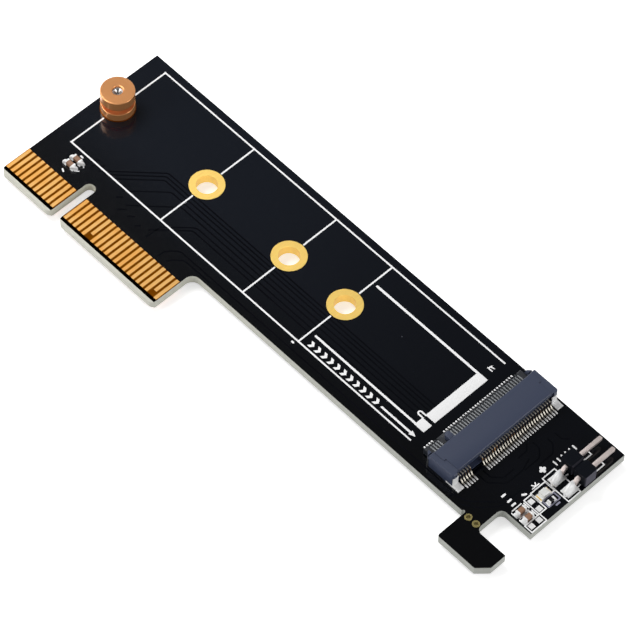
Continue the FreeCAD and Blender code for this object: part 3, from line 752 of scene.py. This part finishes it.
def pick(piece, vertex_test=None, edge_test=None, face_test=None):
    """Selects the vertices, edges or faces that pass a test on their places, in edit mode."""
    select_only(piece)
    kind = "VERT" if vertex_test else "EDGE" if edge_test else "FACE"
    bpy.ops.object.mode_set(mode="EDIT")
    bpy.ops.mesh.select_mode(type=kind)
    bpy.ops.mesh.select_all(action="DESELECT")
    leave_edit()
    mesh = piece.data
    if vertex_test:
        for vertex in mesh.vertices:
            vertex.select = vertex_test(vertex.co)
    if edge_test:
        for edge in mesh.edges:
            first, second = (mesh.vertices[i].co for i in edge.vertices)
            edge.select = edge_test(first, second)
    if face_test:
        for face in mesh.polygons:
            face.select = face_test(face)
    bpy.ops.object.mode_set(mode="EDIT")


def anywhere(part):
    """Test that every vertex and face passes."""
    return True


def upright(first, second):
    return abs(first.x - second.x) < FINE and abs(first.y - second.y) < FINE


def apply_modifiers(piece):
    select_only(piece)
    for modifier in list(piece.modifiers):
        bpy.ops.object.modifier_apply(modifier=modifier.name)


def smooth_by_angle(piece, degrees=32):
    select_only(piece)
    bpy.ops.object.shade_smooth_by_angle(angle=math.radians(degrees))


def join_pieces(name, pieces):
    """Like pieces made one object under a new name."""
    select_only(*pieces)
    if len(pieces) > 1:
        bpy.ops.object.join()
    joined = bpy.context.object
    joined.name = name
    joined.data.name = name
    return joined


def dress(piece, finish_name, slot, stands_for=()):
    """Gives a finished piece its material, its body and its slot."""
    piece.data.materials.clear()
    piece.data.materials.append(finish(finish_name))
    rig.ride(piece, "root")
    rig.slot(piece, slot)
    if stands_for:
        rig.replaces(piece, *stands_for)


def repaint(node, finish_name):
    """Gives a CAD node that stays in view its material."""
    materials = frame["nodes"][node].data.materials
    materials.clear()
    materials.append(finish(finish_name))


def bevel_picked(width, segments, **more):
    bpy.ops.mesh.bevel(offset=width, offset_type="OFFSET", segments=segments, affect="EDGES",
                       **more)


def extrude_picked(move):
    bpy.ops.mesh.extrude_region_move(TRANSFORM_OT_translate={"value": move})


def soften(node, name, width, finish_name, slot):
    """Copy of a CAD node with its edges rounded, dressed in that node's stead.

    The bevel keeps the flat faces between the rounded edges flat to the light.
    """
    piece = link_object(name, frame["nodes"][node].data.copy())
    piece.data.name = name
    pick(piece, vertex_test=anywhere)
    bpy.ops.mesh.remove_doubles(threshold=0.0005 * MM)
    bpy.ops.mesh.dissolve_limited(angle_limit=math.radians(1.0))
    smooth_by_angle(piece)
    bevel = piece.modifiers.new("rounding", "BEVEL")
    bevel.width = width
    bevel.segments = 2
    bevel.limit_method = "ANGLE"
    bevel.angle_limit = math.radians(30)
    bevel.harden_normals = True
    apply_modifiers(piece)
    dress(piece, finish_name, slot, [node])


# ------------------------------------------------------------------ print helpers
def ink_line(start, end, width, level=0):
    """Straight inked line with round ends; start and end are plan places."""
    first = plan(*start)
    second = plan(*end)
    along = second - first
    half = Vector((along.length / 2 + width / 2, width / 2, 0))
    centre = (first + second) / 2
    rise = ink().rise + level * ink().layer
    piece = start_block("line", centre - half, centre + half + Vector((0, 0, rise)),
                        math.atan2(along.y, along.x))
    pick(piece, edge_test=upright)
    bevel_picked(width * 0.49, 4)
    leave_edit()
    return piece


def box_rows(x0, y0, x1, y1, level=0):
    """Rows for the sides of a box; the sides that cross lie at different levels."""
    return [(x0, y0, x1, y0, level), (x1, y0, x1, y1, level + 1),
            (x1, y1, x0, y1, level), (x0, y1, x0, y0, level + 1)]


def print_rows(name, rows, width, finish_name="print"):
    """Lines printed as one piece.

    A row holds the plan places of two ends, a level, and a width in millimetres where the
    line has one of its own.
    """
    lines = []
    for x0, y0, x1, y1, level, *own_width in rows:
        lines.append(ink_line((x0, y0), (x1, y1), own_width[0] * MM if own_width else width, level))
    piece = join_pieces(name, lines)
    smooth_by_angle(piece)
    dress(piece, finish_name, "masked_laminate")


def ink_block(x0, y0, x1, y1, level=0):
    """Solid inked block."""
    rise = ink().rise + level * ink().layer
    return start_block("block", plan(x0, y0), plan(x1, y1, rise))


def route_strip(name, start, heading, moves, width, rise, steps=5):
    """Flat strip drawn along runs and turns, then raised to its height.

    moves holds ("run", millimetres) and ("turn", degrees, radius) steps; left turns are positive.
    """
    way = Vector((math.cos(math.radians(heading)), math.sin(math.radians(heading)), 0))
    place = plan(*start)
    first_run = moves[0][1] * MM
    piece = add_primitive(name, bpy.ops.mesh.primitive_plane_add, size=1.0,
                          location=place + way * first_run / 2,
                          rotation=(0, 0, math.radians(heading)))
    piece.scale = (first_run, width, 1.0)
    settle(piece)
    tip = place + way * first_run
    pick(piece, edge_test=lambda a, b: ((a + b) / 2 - tip).length < width * 0.1)
    for move in moves[1:]:
        if move[0] == "run":
            extrude_picked(way * (move[1] * MM))
            tip = tip + way * (move[1] * MM)
        else:
            turn = math.radians(move[1])
            left = Vector((-way.y, way.x, 0)) * math.copysign(1, turn)
            centre = tip + left * (move[2] * MM)
            bpy.ops.mesh.spin(steps=steps, angle=-turn, center=centre, axis=(0, 0, 1))
            rotation = Matrix.Rotation(turn, 3, "Z")
            tip = centre + rotation @ (tip - centre)
            way = rotation @ way
    bpy.ops.mesh.select_all(action="SELECT")
    extrude_picked((0, 0, rise))
    bpy.ops.mesh.select_all(action="SELECT")
    bpy.ops.mesh.normals_make_consistent(inside=False)
    leave_edit()
    return piece


def track_through(name, corners, radius, width, rise, steps):
    """Strip along straight runs between plan corners, with rounded turns of one radius."""
    legs = []
    for first, second in zip(corners, corners[1:]):
        legs.append(Vector((second[0] - first[0], second[1] - first[1])))
    moves = []
    spent = 0.0
    for index, leg in enumerate(legs):
        if index + 1 == len(legs):
            moves.append(("run", leg.length - spent))
            continue
        bend = legs[index].angle_signed(legs[index + 1])
        cut = radius * math.tan(abs(bend) / 2)
        moves.append(("run", leg.length - spent - cut))
        moves.append(("turn", math.degrees(-bend), radius))
        spent = cut
    heading = math.degrees(math.atan2(legs[0].y, legs[0].x))
    return route_strip(name, corners[0], heading, moves, width, rise, steps)


def foot_rows(node, foot_x):
    """Places of a socket row's feet from the far end, with the key's missing pins left out."""
    low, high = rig.box(node)
    half = 0.1 * MM
    count = round((high.y - low.y - 2 * half) / PIN_PITCH) + 1
    far = high.y - half
    past_key = PINS_BEFORE_KEY + PINS_AT_KEY
    return [(Vector((foot_x, far, FACE)), PINS_BEFORE_KEY),
            (Vector((foot_x, far - past_key * PIN_PITCH, FACE)), count - past_key)]


# ------------------------------------------------------------------ operators
class CardStep:
    """What every step of the dressing shares."""
    bl_options = {"REGISTER", "UNDO"}


class CARD_OT_finish_nodes(CardStep, bpy.types.Operator):
    """Gives the card, its plating and its pads their materials"""
    bl_idname = "card.finish_nodes"
    bl_label = "Finish Card And Plating"

    def execute(self, context):
        for node, name in (
                ("board", "board"), ("edge_contacts_top", "gold"), ("edge_contacts_bottom", "gold"),
                ("hook_vias", "eyelet"), ("chip_pads", "solder"), ("bare_pads", "solder"),
                ("header_pads", "solder"), ("socket_tab_pads", "solder")):
            repaint(node, name)
        for length in hole_places:
            # The ring under the standoff gets the finish with painted shadow.
            repaint("plated_hole_" + length, "shaded_ring" if length == "80" else "ring")
        return {"FINISHED"}


class CARD_OT_finger_resin(CardStep, bpy.types.Operator):
    """Bare resin of the edge finger, seen between its contacts on both faces"""
    bl_idname = "card.finger_resin"
    bl_label = "Finger Resin"

    def execute(self, context):
        sizes = context.scene.card_finger
        key = middle_of_mount("edge_key").x
        strips = []
        for node, face, rise in (("edge_contacts_top", board_high.z, sizes.rise),
                                 ("edge_contacts_bottom", board_low.z, -sizes.rise)):
            low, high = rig.box(node)
            edge = low.y - sizes.bare_strip
            fall = math.copysign(sizes.bevel_slope * (sizes.bevel_start - edge), -rise)
            for left, right in ((low.x, key - sizes.key_half), (key + sizes.key_half, high.x)):
                strip = start_block("strip", (left, edge, min(face, face + rise)),
                                    (right, high.y - sizes.mask_lap, max(face, face + rise)))
                pick(strip, face_test=anywhere)
                bpy.ops.mesh.bisect(plane_co=(0, sizes.bevel_start, 0), plane_no=(0, 1, 0),
                                    threshold=FINE)
                pick(strip, vertex_test=lambda place: place.y < edge + FINE)
                bpy.ops.transform.translate(value=(0, 0, fall))
                pick(strip, edge_test=lambda first, second: upright(first, second)
                     and abs(first.y - sizes.bevel_start) > FINE)
                bevel_picked(sizes.corner, 3)
                strips.append(strip)
        dress(join_pieces("finger_resin", strips), "resin", "masked_laminate")
        return {"FINISHED"}


class CARD_OT_tracks(CardStep, bpy.types.Operator):
    """Dark gaps beside the copper tracks, seen through the mask"""
    bl_idname = "card.tracks"
    bl_label = "Track Gaps"

    def execute(self, context):
        sizes = context.scene.card_tracks
        bar = 21.7
        long_runs = (
            (1.0, (-43.2, -10.3), (-41.5, -8.7), (-35.55, -2.8), (bar, -2.8)),
            (1.0, (-42.0, -10.1), (-40.4, -8.5), (-35.3, -3.45), (bar, -3.45)),
            (1.0, (-40.6, -9.7), (-39.0, -8.15), (-34.95, -4.1), (bar, -4.1)),
            (1.2, (-37.9, -10.2), (-36.1, -8.35), (-32.65, -4.9), (20.7, -4.9)),
            (1.2, (-35.6, -11.6), (-32.7, -8.8), (-29.6, -5.7), (20.5, -5.7)),
            (1.6, (-29.2, -13.4), (-29.0, -10.4), (-25.2, -6.6), (bar, -6.6)),
            (1.2, (-29.9, -12.2), (-27.8, -10.0), (-25.2, -7.4), (0.6, -7.4)),
            (1.6, (-25.4, -14.4), (-25.3, -12.9), (-23.7, -11.3), (34.6, -11.3)),
            (1.2, (-23.9, -14.2), (-23.3, -13.2), (-22.1, -12.0), (-16.6, -12.0)),
        )
        loops = (
            (0.9, (34.2, -6.65), (36.2, -6.65), (38.2, -4.6), (38.2, -1.4), (37.5, 0.7)),
            (0.8, (34.3, -5.6), (35.9, -5.6), (37.2, -4.3), (37.2, -2.1)),
            (0.8, (35.8, 3.1), (37.2, 3.1), (38.4, 1.9), (38.4, -1.2)),
            (0.8, (36.9, 5.1), (38.0, 5.1), (39.2, 3.9), (39.2, 0.9)),
            (0.7, (36.3, -0.4), (36.3, 1.4), (35.4, 2.3)),
            (0.6, (36.9, 6.6), (38.3, 6.6), (39.2, 7.5)),
            (2.4, (33.6, -11.75), (36.4, -11.0), (39.9, -7.4), (40.1, -5.6)),
            (2.4, (36.1, -12.0), (38.2, -10.6), (40.35, -8.0), (40.35, -3.9)),
        )
        stubs = (
            (1.0, (-45.6, -9.9), (-44.4, -8.7)), (1.0, (-44.6, -10.4), (-43.1, -8.9)),
            (1.0, (-33.9, -12.8), (-33.1, -12.0)), (1.0, (-37.7, -11.6), (-36.9, -10.8)),
            (1.0, (-31.9, -13.2), (-31.2, -12.5)), (1.0, (-35.9, -13.0), (-34.9, -12.0)),
            (1.0, (33.9, 8.9), (35.4, 8.9)), (1.0, (35.0, -8.4), (36.3, -8.4)),
        )
        strips = []
        for radius, *corners in long_runs + loops + stubs:
            strips.append(track_through("gap", corners, radius, sizes.gap, sizes.rise,
                                        sizes.turn_steps))
        dress(join_pieces("track_gaps", strips), "gap", "masked_laminate")
        return {"FINISHED"}


class CARD_OT_outline_print(CardStep, bpy.types.Operator):
    """Printed outline of the drive with its length lines"""
    bl_idname = "card.outline_print"
    bl_label = "Drive Outline"

    def execute(self, context):
        settings = ink()
        far = settings.far_line / MM
        near = -settings.near_line / MM
        stop = (ring_radius + settings.ring_gap + settings.line / 2) / MM
        rows = [(-50.06, far, 23.5, far, 0), (-50.06, near, 23.45, near, 0)]
        for name in ("80", "60", "42", "30"):
            x = in_plan(hole_places[name])[0]
            rows += [(x, near, x, -stop, 1), (x, stop, x, far, 1)]
        print_rows("drive_outline", rows, settings.line)
        return {"FINISHED"}


class CARD_OT_key_print(CardStep, bpy.types.Operator):
    """Printed drawing of a drive's keyed end, with its solid bar and key loop"""
    bl_idname = "card.key_print"
    bl_label = "Keyed End"

    def execute(self, context):
        settings = ink()
        loop = [("run", 0.95), ("turn", 180, 0.31), ("run", 0.95)]
        parts = [ink_line((0.95, 5.8), (22.2, 5.8), settings.heavy),
                 ink_line((1.1, -7.08), (22.2, -7.08), settings.heavy * 0.9),
                 ink_block(21.93, -4.98, 23.85, 6.0, 1),
                 ink_block(21.95, -7.3, 23.87, -5.6, 1),
                 route_strip("loop", (22.1, -4.98), 180, loop, 0.26 * MM, settings.rise, 8)]
        dress(join_pieces("keyed_end_print", parts), "print", "masked_laminate")
        return {"FINISHED"}


class CARD_OT_marks_print(CardStep, bpy.types.Operator):
    """Printed chevrons, the arrow to the socket and the small marks beside it"""
    bl_idname = "card.marks_print"
    bl_label = "Arrow And Chevrons"

    def execute(self, context):
        middle = plan(0, -8.57).y
        marks = []
        for index in range(11):
            x = 1.3 + 1.36 * index
            chevron = ink_block(x, -9.12, x + 0.55, -8.02)
            pick(chevron, edge_test=lambda a, b: abs(a.y - b.y) > 0.5 * MM)
            bpy.ops.mesh.subdivide(number_cuts=1)
            pick(chevron, vertex_test=lambda place: abs(place.y - middle) < 0.1 * MM)
            bpy.ops.transform.translate(value=(0.42 * MM, 0, 0))
            marks.append(chevron)
        marks.append(ink_line((16.6, -8.68), (22.7, -8.68), ink().heavy * 0.85))
        head = ink_block(22.55, -9.12, 23.5, -8.24, 1)
        tip = plan(23.5, 0).x
        pick(head, vertex_test=lambda place: abs(place.x - tip) < 0.01 * MM)
        bpy.ops.transform.resize(value=(1, 0.12, 1))
        marks.append(head)
        dress(join_pieces("arrow_print", marks), "print", "masked_laminate")
        print_rows("small_marks", [
            (22.35, 7.55, 23.2, 7.55, 0), (22.45, 7.9, 23.1, 8.1, 1),
            (22.45, 7.55, 22.55, 8.15, 2), (-0.6, -10.3, -0.4, -10.3, 0, 0.34)], ink().fine)
        return {"FINISHED"}


class CARD_OT_part_print(CardStep, bpy.types.Operator):
    """Printed outlines and plain marks round the small parts"""
    bl_idname = "card.part_print"
    bl_label = "Part Outlines"

    def execute(self, context):
        header = box_rows(41.15, -0.35, 46.4, 2.15)
        for x, end in ((43.1, 7.85), (45.6, 7.93)):
            header += [(x, 2.15, x, end, 1), (x - 0.65, end, x, end, 0)]
        polarity = [(39.75, 0.8, 40.45, 0.8, 0, 0.5), (40.1, 0.45, 40.1, 1.15, 1, 0.5)]
        for index in range(6):
            y = 2.9 + 0.8 * index
            polarity.append((40.25, y, 40.95, y, 0, 0.26))
        lamp = box_rows(41.75, -3.4, 43.7, -0.45)
        lamp += [(41.4, -2.6, 41.4, -1.3, 2), (40.9, -1.6, 41.4, -1.95, 1),
                 (40.9, -2.3, 41.4, -1.95, 0)]
        resistor = box_rows(43.85, -3.1, 45.15, -0.8) + [(45.6, -2.0, 45.6, -1.4, 0, 0.3)]
        capacitor = box_rows(41.9, -4.95, 45.0, -3.5) + [(41.1, -4.4, 41.35, -3.95, 0, 0.36)]
        low, high = -7.75, -5.25
        for x0, x1 in ((42.0, 43.45), (43.6, 45.0)):
            capacitor += [(x, low + 0.35, x, high - 0.35, 1) for x in (x0, x1)]
            capacitor += [(x0 + 0.2, y, x1 - 0.2, y, 0) for y in (low, high)]
        capacitor += [(x, -6.75, x, -6.2, 0, 0.34) for x in (39.3, 40.5, 41.35)]
        finger = [(-45.6, -11.1, -45.1, -11.5, 1), (-45.1, -12.5, -45.6, -12.95, 0),
                  (-48.15, -12.55, -47.7, -12.95, 1), (-48.1, -11.5, -47.6, -11.1, 0),
                  (-47.0, -10.35, -46.6, -10.35, 0, 0.3), (-47.1, -14.0, -46.7, -14.2, 0, 0.26)]
        for name, rows, look in (
                ("header_print", header, "print"), ("polarity_print", polarity, "print"),
                ("lamp_print", lamp, "print"), ("resistor_print", resistor, "thin_print"),
                ("capacitor_print", capacitor, "print"),
                ("bare_pad_print", box_rows(44.98, -7.9, 46.42, -4.9, 2), "print"),
                ("finger_part_print", finger, "print")):
            print_rows(name, rows, ink().fine, look)
        return {"FINISHED"}


class CARD_OT_socket(CardStep, bpy.types.Operator):
    """Socket with softened moulding, spring contacts, tabs and soldered feet"""
    bl_idname = "card.socket"
    bl_label = "Drive Socket"

    def execute(self, context):
        edges = context.scene.card_edges
        soften("socket_housing", "socket_moulding", edges.moulded, "socket", "socket_plastic")
        repaint("socket_lower_contacts", "front_spring")
        repaint("socket_upper_contacts", "rear_spring")
        for side in ("near", "far"):
            soften("socket_tab_" + side, "socket_anchor_" + side, edges.small, "tabs",
                   "tinned_tabs")

        foot = 0.55 * MM
        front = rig.box("socket_lower_contacts")[0].x
        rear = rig.box("socket_upper_contacts")[1].x
        rows = []
        for node, foot_x in (("socket_lower_contacts", front + foot / 2),
                             ("socket_upper_contacts", rear - foot / 2)):
            for place, pins in foot_rows(node, foot_x):
                rows.append(foot_fillets(place, foot, pins))
        piece = join_pieces("socket_solder", rows)
        smooth_by_angle(piece, 60)
        dress(piece, "solder", "tinned_pads")
        return {"FINISHED"}


def foot_fillets(place, foot, pins):
    """Solder round a row of contact feet, from its first foot."""
    solder = bpy.context.scene.card_solder
    half = Vector((foot / 2 + solder.foot_margin, 0.13 * MM, 0))
    fillet = start_block("fillet", place - half, place + half + Vector((0, 0, solder.foot_rise)))
    crown = place.z + solder.foot_rise - 0.01 * MM
    pick(fillet, face_test=lambda face: face.center.z > crown)
    bpy.ops.transform.resize(value=(0.72, 0.6, 1))
    pick(fillet, edge_test=lambda a, b: min(a.z, b.z) > crown or abs(a.z - b.z) > 0.05 * MM)
    bevel_picked(0.05 * MM, 2)
    repeat = fillet.modifiers.new("pitch", "ARRAY")
    repeat.count = pins
    repeat.use_relative_offset = False
    repeat.use_constant_offset = True
    repeat.constant_offset_displace = (0, -PIN_PITCH, 0)
    apply_modifiers(fillet)
    return fillet


def solder_mound(low, high, seed):
    """Rounded uneven mound of solder that stands on the card's face."""
    low = Vector(low)
    high = Vector(high)
    drop = (high.z - low.z) * 0.45
    piece = start_block("mound", low - Vector((0, 0, drop)), high)
    pick(piece, vertex_test=anywhere)
    bpy.ops.mesh.subdivide(number_cuts=3, smoothness=1.0)
    crown = piece.modifiers.new("rounding", "CAST")
    crown.factor = 0.55
    crown.cast_type = "SPHERE"
    crown.size = 0.0
    smooth = piece.modifiers.new("smoothing", "SUBSURF")
    smooth.levels = 1
    smooth.render_levels = 1
    apply_modifiers(piece)
    pick(piece, vertex_test=lambda place: place.z > low.z + 0.1 * MM)
    bpy.ops.transform.vertex_random(offset=0.035 * MM, seed=seed)
    pick(piece, vertex_test=anywhere)
    bpy.ops.mesh.bisect(plane_co=low, plane_no=(0, 0, 1), use_fill=True, clear_inner=True,
                        threshold=FINE)
    leave_edit()
    return piece


def solder_piece(name, mounds):
    piece = join_pieces(name, mounds)
    smooth_by_angle(piece, 80)
    dress(piece, "solder", "tinned_pads")


class CARD_OT_header(CardStep, bpy.types.Operator):
    """Lamp header with softened moulding, bent pins and heavy solder"""
    bl_idname = "card.header"
    bl_label = "Lamp Header"

    def execute(self, context):
        edges = context.scene.card_edges
        soften("header_block", "header_moulding", edges.moulded * 1.6, "header", "header_plastic")
        pads_low, pads_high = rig.box("header_pads")
        top = FACE + context.scene.card_solder.mound_rise
        mounds = []
        for number, seed in (("1", 3), ("2", 8)):
            soften("header_pin_" + number, "header_wire_" + number, edges.small * 1.6, "pin",
                   "header_pins")
            centre = middle_of("header_pin_" + number).x
            mounds.append(solder_mound((centre - 0.75 * MM, pads_low.y + 0.1 * MM, FACE),
                                       (centre + 0.75 * MM, pads_high.y - 0.1 * MM, top), seed))
        solder_piece("header_solder", mounds)
        return {"FINISHED"}


def end_mounds(node, reach, rise, seed):
    """Solder heaped against both ends of a chip part."""
    low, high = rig.box(node)
    axis = 0 if high.x - low.x > high.y - low.y else 1
    lap = 0.3 * MM
    side = 0.1 * MM
    mounds = []
    for start, ends in enumerate(((high[axis] - lap, high[axis] + reach),
                                  (low[axis] - reach, low[axis] + lap))):
        near = Vector((low.x - side, low.y - side, FACE))
        far = Vector((high.x + side, high.y + side, FACE + rise))
        near[axis], far[axis] = ends
        mounds.append(solder_mound(near, far, seed + start))
    return mounds


class CARD_OT_chips(CardStep, bpy.types.Operator):
    """Small chip parts with softened bodies, end caps and lamp"""
    bl_idname = "card.chips"
    bl_label = "Chip Parts"

    def execute(self, context):
        small = context.scene.card_edges.small
        mounds = []
        for node, reach, seed in (("filter_capacitor_1", 0.16, 24), ("filter_capacitor_2", 0.16, 26),
                                  ("finger_capacitor_1", 0.34, 20), ("finger_capacitor_2", 0.34, 22)):
            soften(node, node + "_body", small, "ceramic", "capacitor_ceramic")
            soften(node + "_ends", node + "_caps", small * 1.4, "solder", "chip_terminations")
            mounds += end_mounds(node + "_ends", reach * MM, 0.62 * MM, seed)
        solder_piece("chip_solder", mounds)
        for node, name, width, look, slot in (
                ("resistor", "resistor_body", small, "film", "resistor_film"),
                ("resistor_ends", "resistor_caps", small, "solder", "chip_terminations"),
                ("led_base", "lamp_body", small, "lamp_base", "led_ceramic"),
                ("led_lens", "lamp_lens", small * 1.6, "lamp", "led_resin"),
                ("led_ends", "lamp_caps", small, "ring", "chip_terminations")):
            soften(node, name, width, look, slot)
        return {"FINISHED"}


def turned_post(low, high):
    """Grooved post with a bore through it, drawn up from its foot."""
    sizes = bpy.context.scene.card_post
    middle = (low + high) / 2
    radius = (high.x - low.x) / 2
    shoulder = FACE + sizes.seat
    head = shoulder + sizes.groove
    tiny = 0.01 * MM

    def rim(height, reach):
        """Test for the edges of one ring about the post's axis."""
        def on_ring(first, second):
            half = (first + second) / 2
            out = math.hypot(half.x - middle.x, half.y - middle.y)
            level = max(abs(first.z - height), abs(second.z - height)) < tiny
            return level and abs(out - reach) < 5 * tiny
        return on_ring

    def flat_at(height):
        return lambda face: abs(face.center.z - height) < tiny and abs(face.normal.z) > 0.9

    post = add_primitive("turned_post", bpy.ops.mesh.primitive_cylinder_add, vertices=96,
                         radius=radius, depth=shoulder - low.z,
                         location=(middle.x, middle.y, (low.z + shoulder) / 2))
    settle(post)
    pick(post, face_test=flat_at(shoulder))
    bpy.ops.mesh.inset(thickness=radius - sizes.neck_radius)
    extrude_picked((0, 0, sizes.groove))
    extrude_picked((0, 0, 0))
    wider = radius / sizes.neck_radius
    bpy.ops.transform.resize(value=(wider, wider, 1))
    extrude_picked((0, 0, high.z - head))
    bpy.ops.mesh.inset(thickness=radius - sizes.bore_radius)
    extrude_picked((0, 0, low.z - high.z))
    bpy.ops.mesh.delete(type="ONLY_FACE")
    pick(post, face_test=flat_at(low.z))
    bpy.ops.mesh.inset(thickness=radius - sizes.bore_radius)
    bpy.ops.mesh.delete(type="ONLY_FACE")
    bpy.ops.mesh.select_all(action="SELECT")
    bpy.ops.mesh.remove_doubles(threshold=0.001 * MM)
    bpy.ops.mesh.normals_make_consistent(inside=False)
    smooth_by_angle(post)
    for height, reach, width, segments in (
            (high.z, radius, sizes.head_round, 6), (high.z, sizes.bore_radius, sizes.mouth, 2),
            (head, radius, sizes.edge, 3), (shoulder, radius, sizes.edge, 3),
            (low.z, radius, sizes.edge, 3)):
        pick(post, edge_test=rim(height, reach))
        bevel_picked(width, segments, harden_normals=True)
    leave_edit()
    return post


class CARD_OT_standoff(CardStep, bpy.types.Operator):
    """Turned standoff and its screw"""
    bl_idname = "card.standoff"
    bl_label = "Standoff"

    def execute(self, context):
        dress(turned_post(*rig.box("standoff")), "copper", "turned_copper", ["standoff"])
        soften("standoff_screw", "post_screw", context.scene.card_edges.small, "steel",
               "plated_steel")
        return {"FINISHED"}


class CARD_OT_stage(CardStep, bpy.types.Operator):
    """Pale floor, soft light and the camera"""
    bl_idname = "card.stage"
    bl_label = "Stage And Light"

    def execute(self, context):
        light = context.scene.card_light
        low, high = cad_box
        floor_middle = Vector(((low.x + high.x) / 2, (low.y + high.y) / 2, low.z))
        floor = add_primitive("pale_floor", bpy.ops.mesh.primitive_plane_add, size=4.0,
                              location=floor_middle)
        settle(floor)
        floor.data.materials.append(floor_finish())
        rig.stage(floor)

        world = bpy.data.worlds.new("soft_room")
        context.scene.world = world
        world.use_nodes = True
        light_room(world.node_tree, light.walls, light.ceiling)

        middle = plan(-8.0, 0.0)
        for name, power, size, place in (
                ("key_lamp", light.key, 0.30, (-0.26, -0.02, 0.42)),
                ("left_lamp", light.side, 0.20, (-0.20, -0.34, 0.20)),
                ("right_lamp", light.side, 0.20, (0.36, 0.14, 0.22))):
            data = bpy.data.lights.new(name, "AREA")
            data.shape = "DISK"
            data.size = size
            data.energy = power
            lamp = link_object(name, data)
            lamp.location = middle + Vector(place)
            lamp.rotation_mode = "QUATERNION"
            lamp.rotation_quaternion = (middle - lamp.location).to_track_quat("-Z", "Y")

        camera = link_object("card_camera", bpy.data.cameras.new("card_camera"))
        camera.data.sensor_width = 36.0
        camera.data.lens = 216.31
        camera.data.clip_start = 0.01
        camera.data.clip_end = 10.0
        eye = plan(216.39, -231.11) + Vector((0, 0, 0.46383))
        right = Vector((0.6939, 0.7197, 0.0253)).normalized()
        look = Vector((-0.3892, 0.4043, -0.8277)).normalized()
        up = right.cross(look).normalized()
        right = look.cross(up)
        turn = Matrix((right, up, -look)).transposed()
        camera.matrix_world = Matrix.Translation(eye) @ turn.to_4x4()
        context.scene.camera = camera
        context.scene.view_settings.view_transform = "Standard"
        return {"FINISHED"}


def floor_finish():
    """White to the camera and in reflections, with the object's soft shadow kept."""
    material, tree, shader = begin_finish("pale_floor", 0.9, Specular_IOR_Level=0.0)
    mottle = noise(tree, object_point(tree), 60.0, 2.0)
    paint(tree, shader, tones(tree, mottle, colours().floor, 0.99, 1.01))
    glow = tree.nodes.new("ShaderNodeEmission")
    path = tree.nodes.new("ShaderNodeLightPath")
    seen = math_node(tree, "MAXIMUM", path.outputs["Is Camera Ray"], path.outputs["Is Glossy Ray"])
    seen = math_node(tree, "MAXIMUM", seen, path.outputs["Is Transmission Ray"])
    strength = math_node(tree, "MULTIPLY", seen, bpy.context.scene.card_light.floor)
    tree.links.new(strength, glow.inputs["Strength"])
    both = tree.nodes.new("ShaderNodeAddShader")
    tree.links.new(shader.outputs[0], both.inputs[0])
    tree.links.new(glow.outputs[0], both.inputs[1])
    tree.links.new(both.outputs[0], tree.nodes["Material Output"].inputs["Surface"])
    return material


def light_room(tree, walls, ceiling):
    """Room with white walls under a dim ceiling, and white all over to the camera."""
    background = tree.nodes["Background"]
    direction = tree.nodes.new("ShaderNodeTexCoord").outputs["Generated"]
    room = ramp(tree, split(tree, direction)[2], 0.3, 0.65, walls, ceiling)
    seen = tree.nodes.new("ShaderNodeLightPath").outputs["Is Camera Ray"]
    tree.links.new(math_node(tree, "MAXIMUM", room, seen), background.inputs["Strength"])
    background.inputs["Color"].default_value = (1.0, 1.0, 1.0, 1.0)


class CARD_PT_dressing(bpy.types.Panel):
    """Lists the steps that dress the card"""
    bl_idname = "CARD_PT_dressing"
    bl_label = "Adapter Card"
    bl_space_type = "VIEW_3D"
    bl_region_type = "UI"
    bl_category = "Card"

    def draw(self, context):
        column = self.layout.column()
        for operator in OPERATORS:
            column.operator(operator.bl_idname)


SETTINGS = (("card_colours", CardColours), ("card_print", CardPrint), ("card_tracks", CardTracks),
            ("card_finger", CardFinger), ("card_solder", CardSolder), ("card_edges", CardEdges),
            ("card_post", CardPost), ("card_light", CardLight))
OPERATORS = tuple(item for name, item in list(globals().items()) if name.startswith("CARD_OT_"))


def register():
    for name, group in SETTINGS:
        bpy.utils.register_class(group)
        setattr(bpy.types.Scene, name, PointerProperty(type=group))
    for operator in OPERATORS:
        bpy.utils.register_class(operator)
    bpy.utils.register_class(CARD_PT_dressing)


def unregister():
    bpy.utils.unregister_class(CARD_PT_dressing)
    for operator in reversed(OPERATORS):
        bpy.utils.unregister_class(operator)
    for name, group in reversed(SETTINGS):
        delattr(bpy.types.Scene, name)
        bpy.utils.unregister_class(group)


def main():
    register()
    for operator in OPERATORS:
        family, step = operator.bl_idname.split(".")
        result = getattr(getattr(bpy.ops, family), step)()
        if result != {"FINISHED"}:
            raise RuntimeError(operator.bl_idname + " did not finish")
    sizes = {"cad": [list(corner) for corner in cad_box],
             "visual": [list(corner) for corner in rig.bounds()]}
    with open("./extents.json", "w") as size_file:
        json.dump(sizes, size_file)


if __name__ == "__main__":
    main()
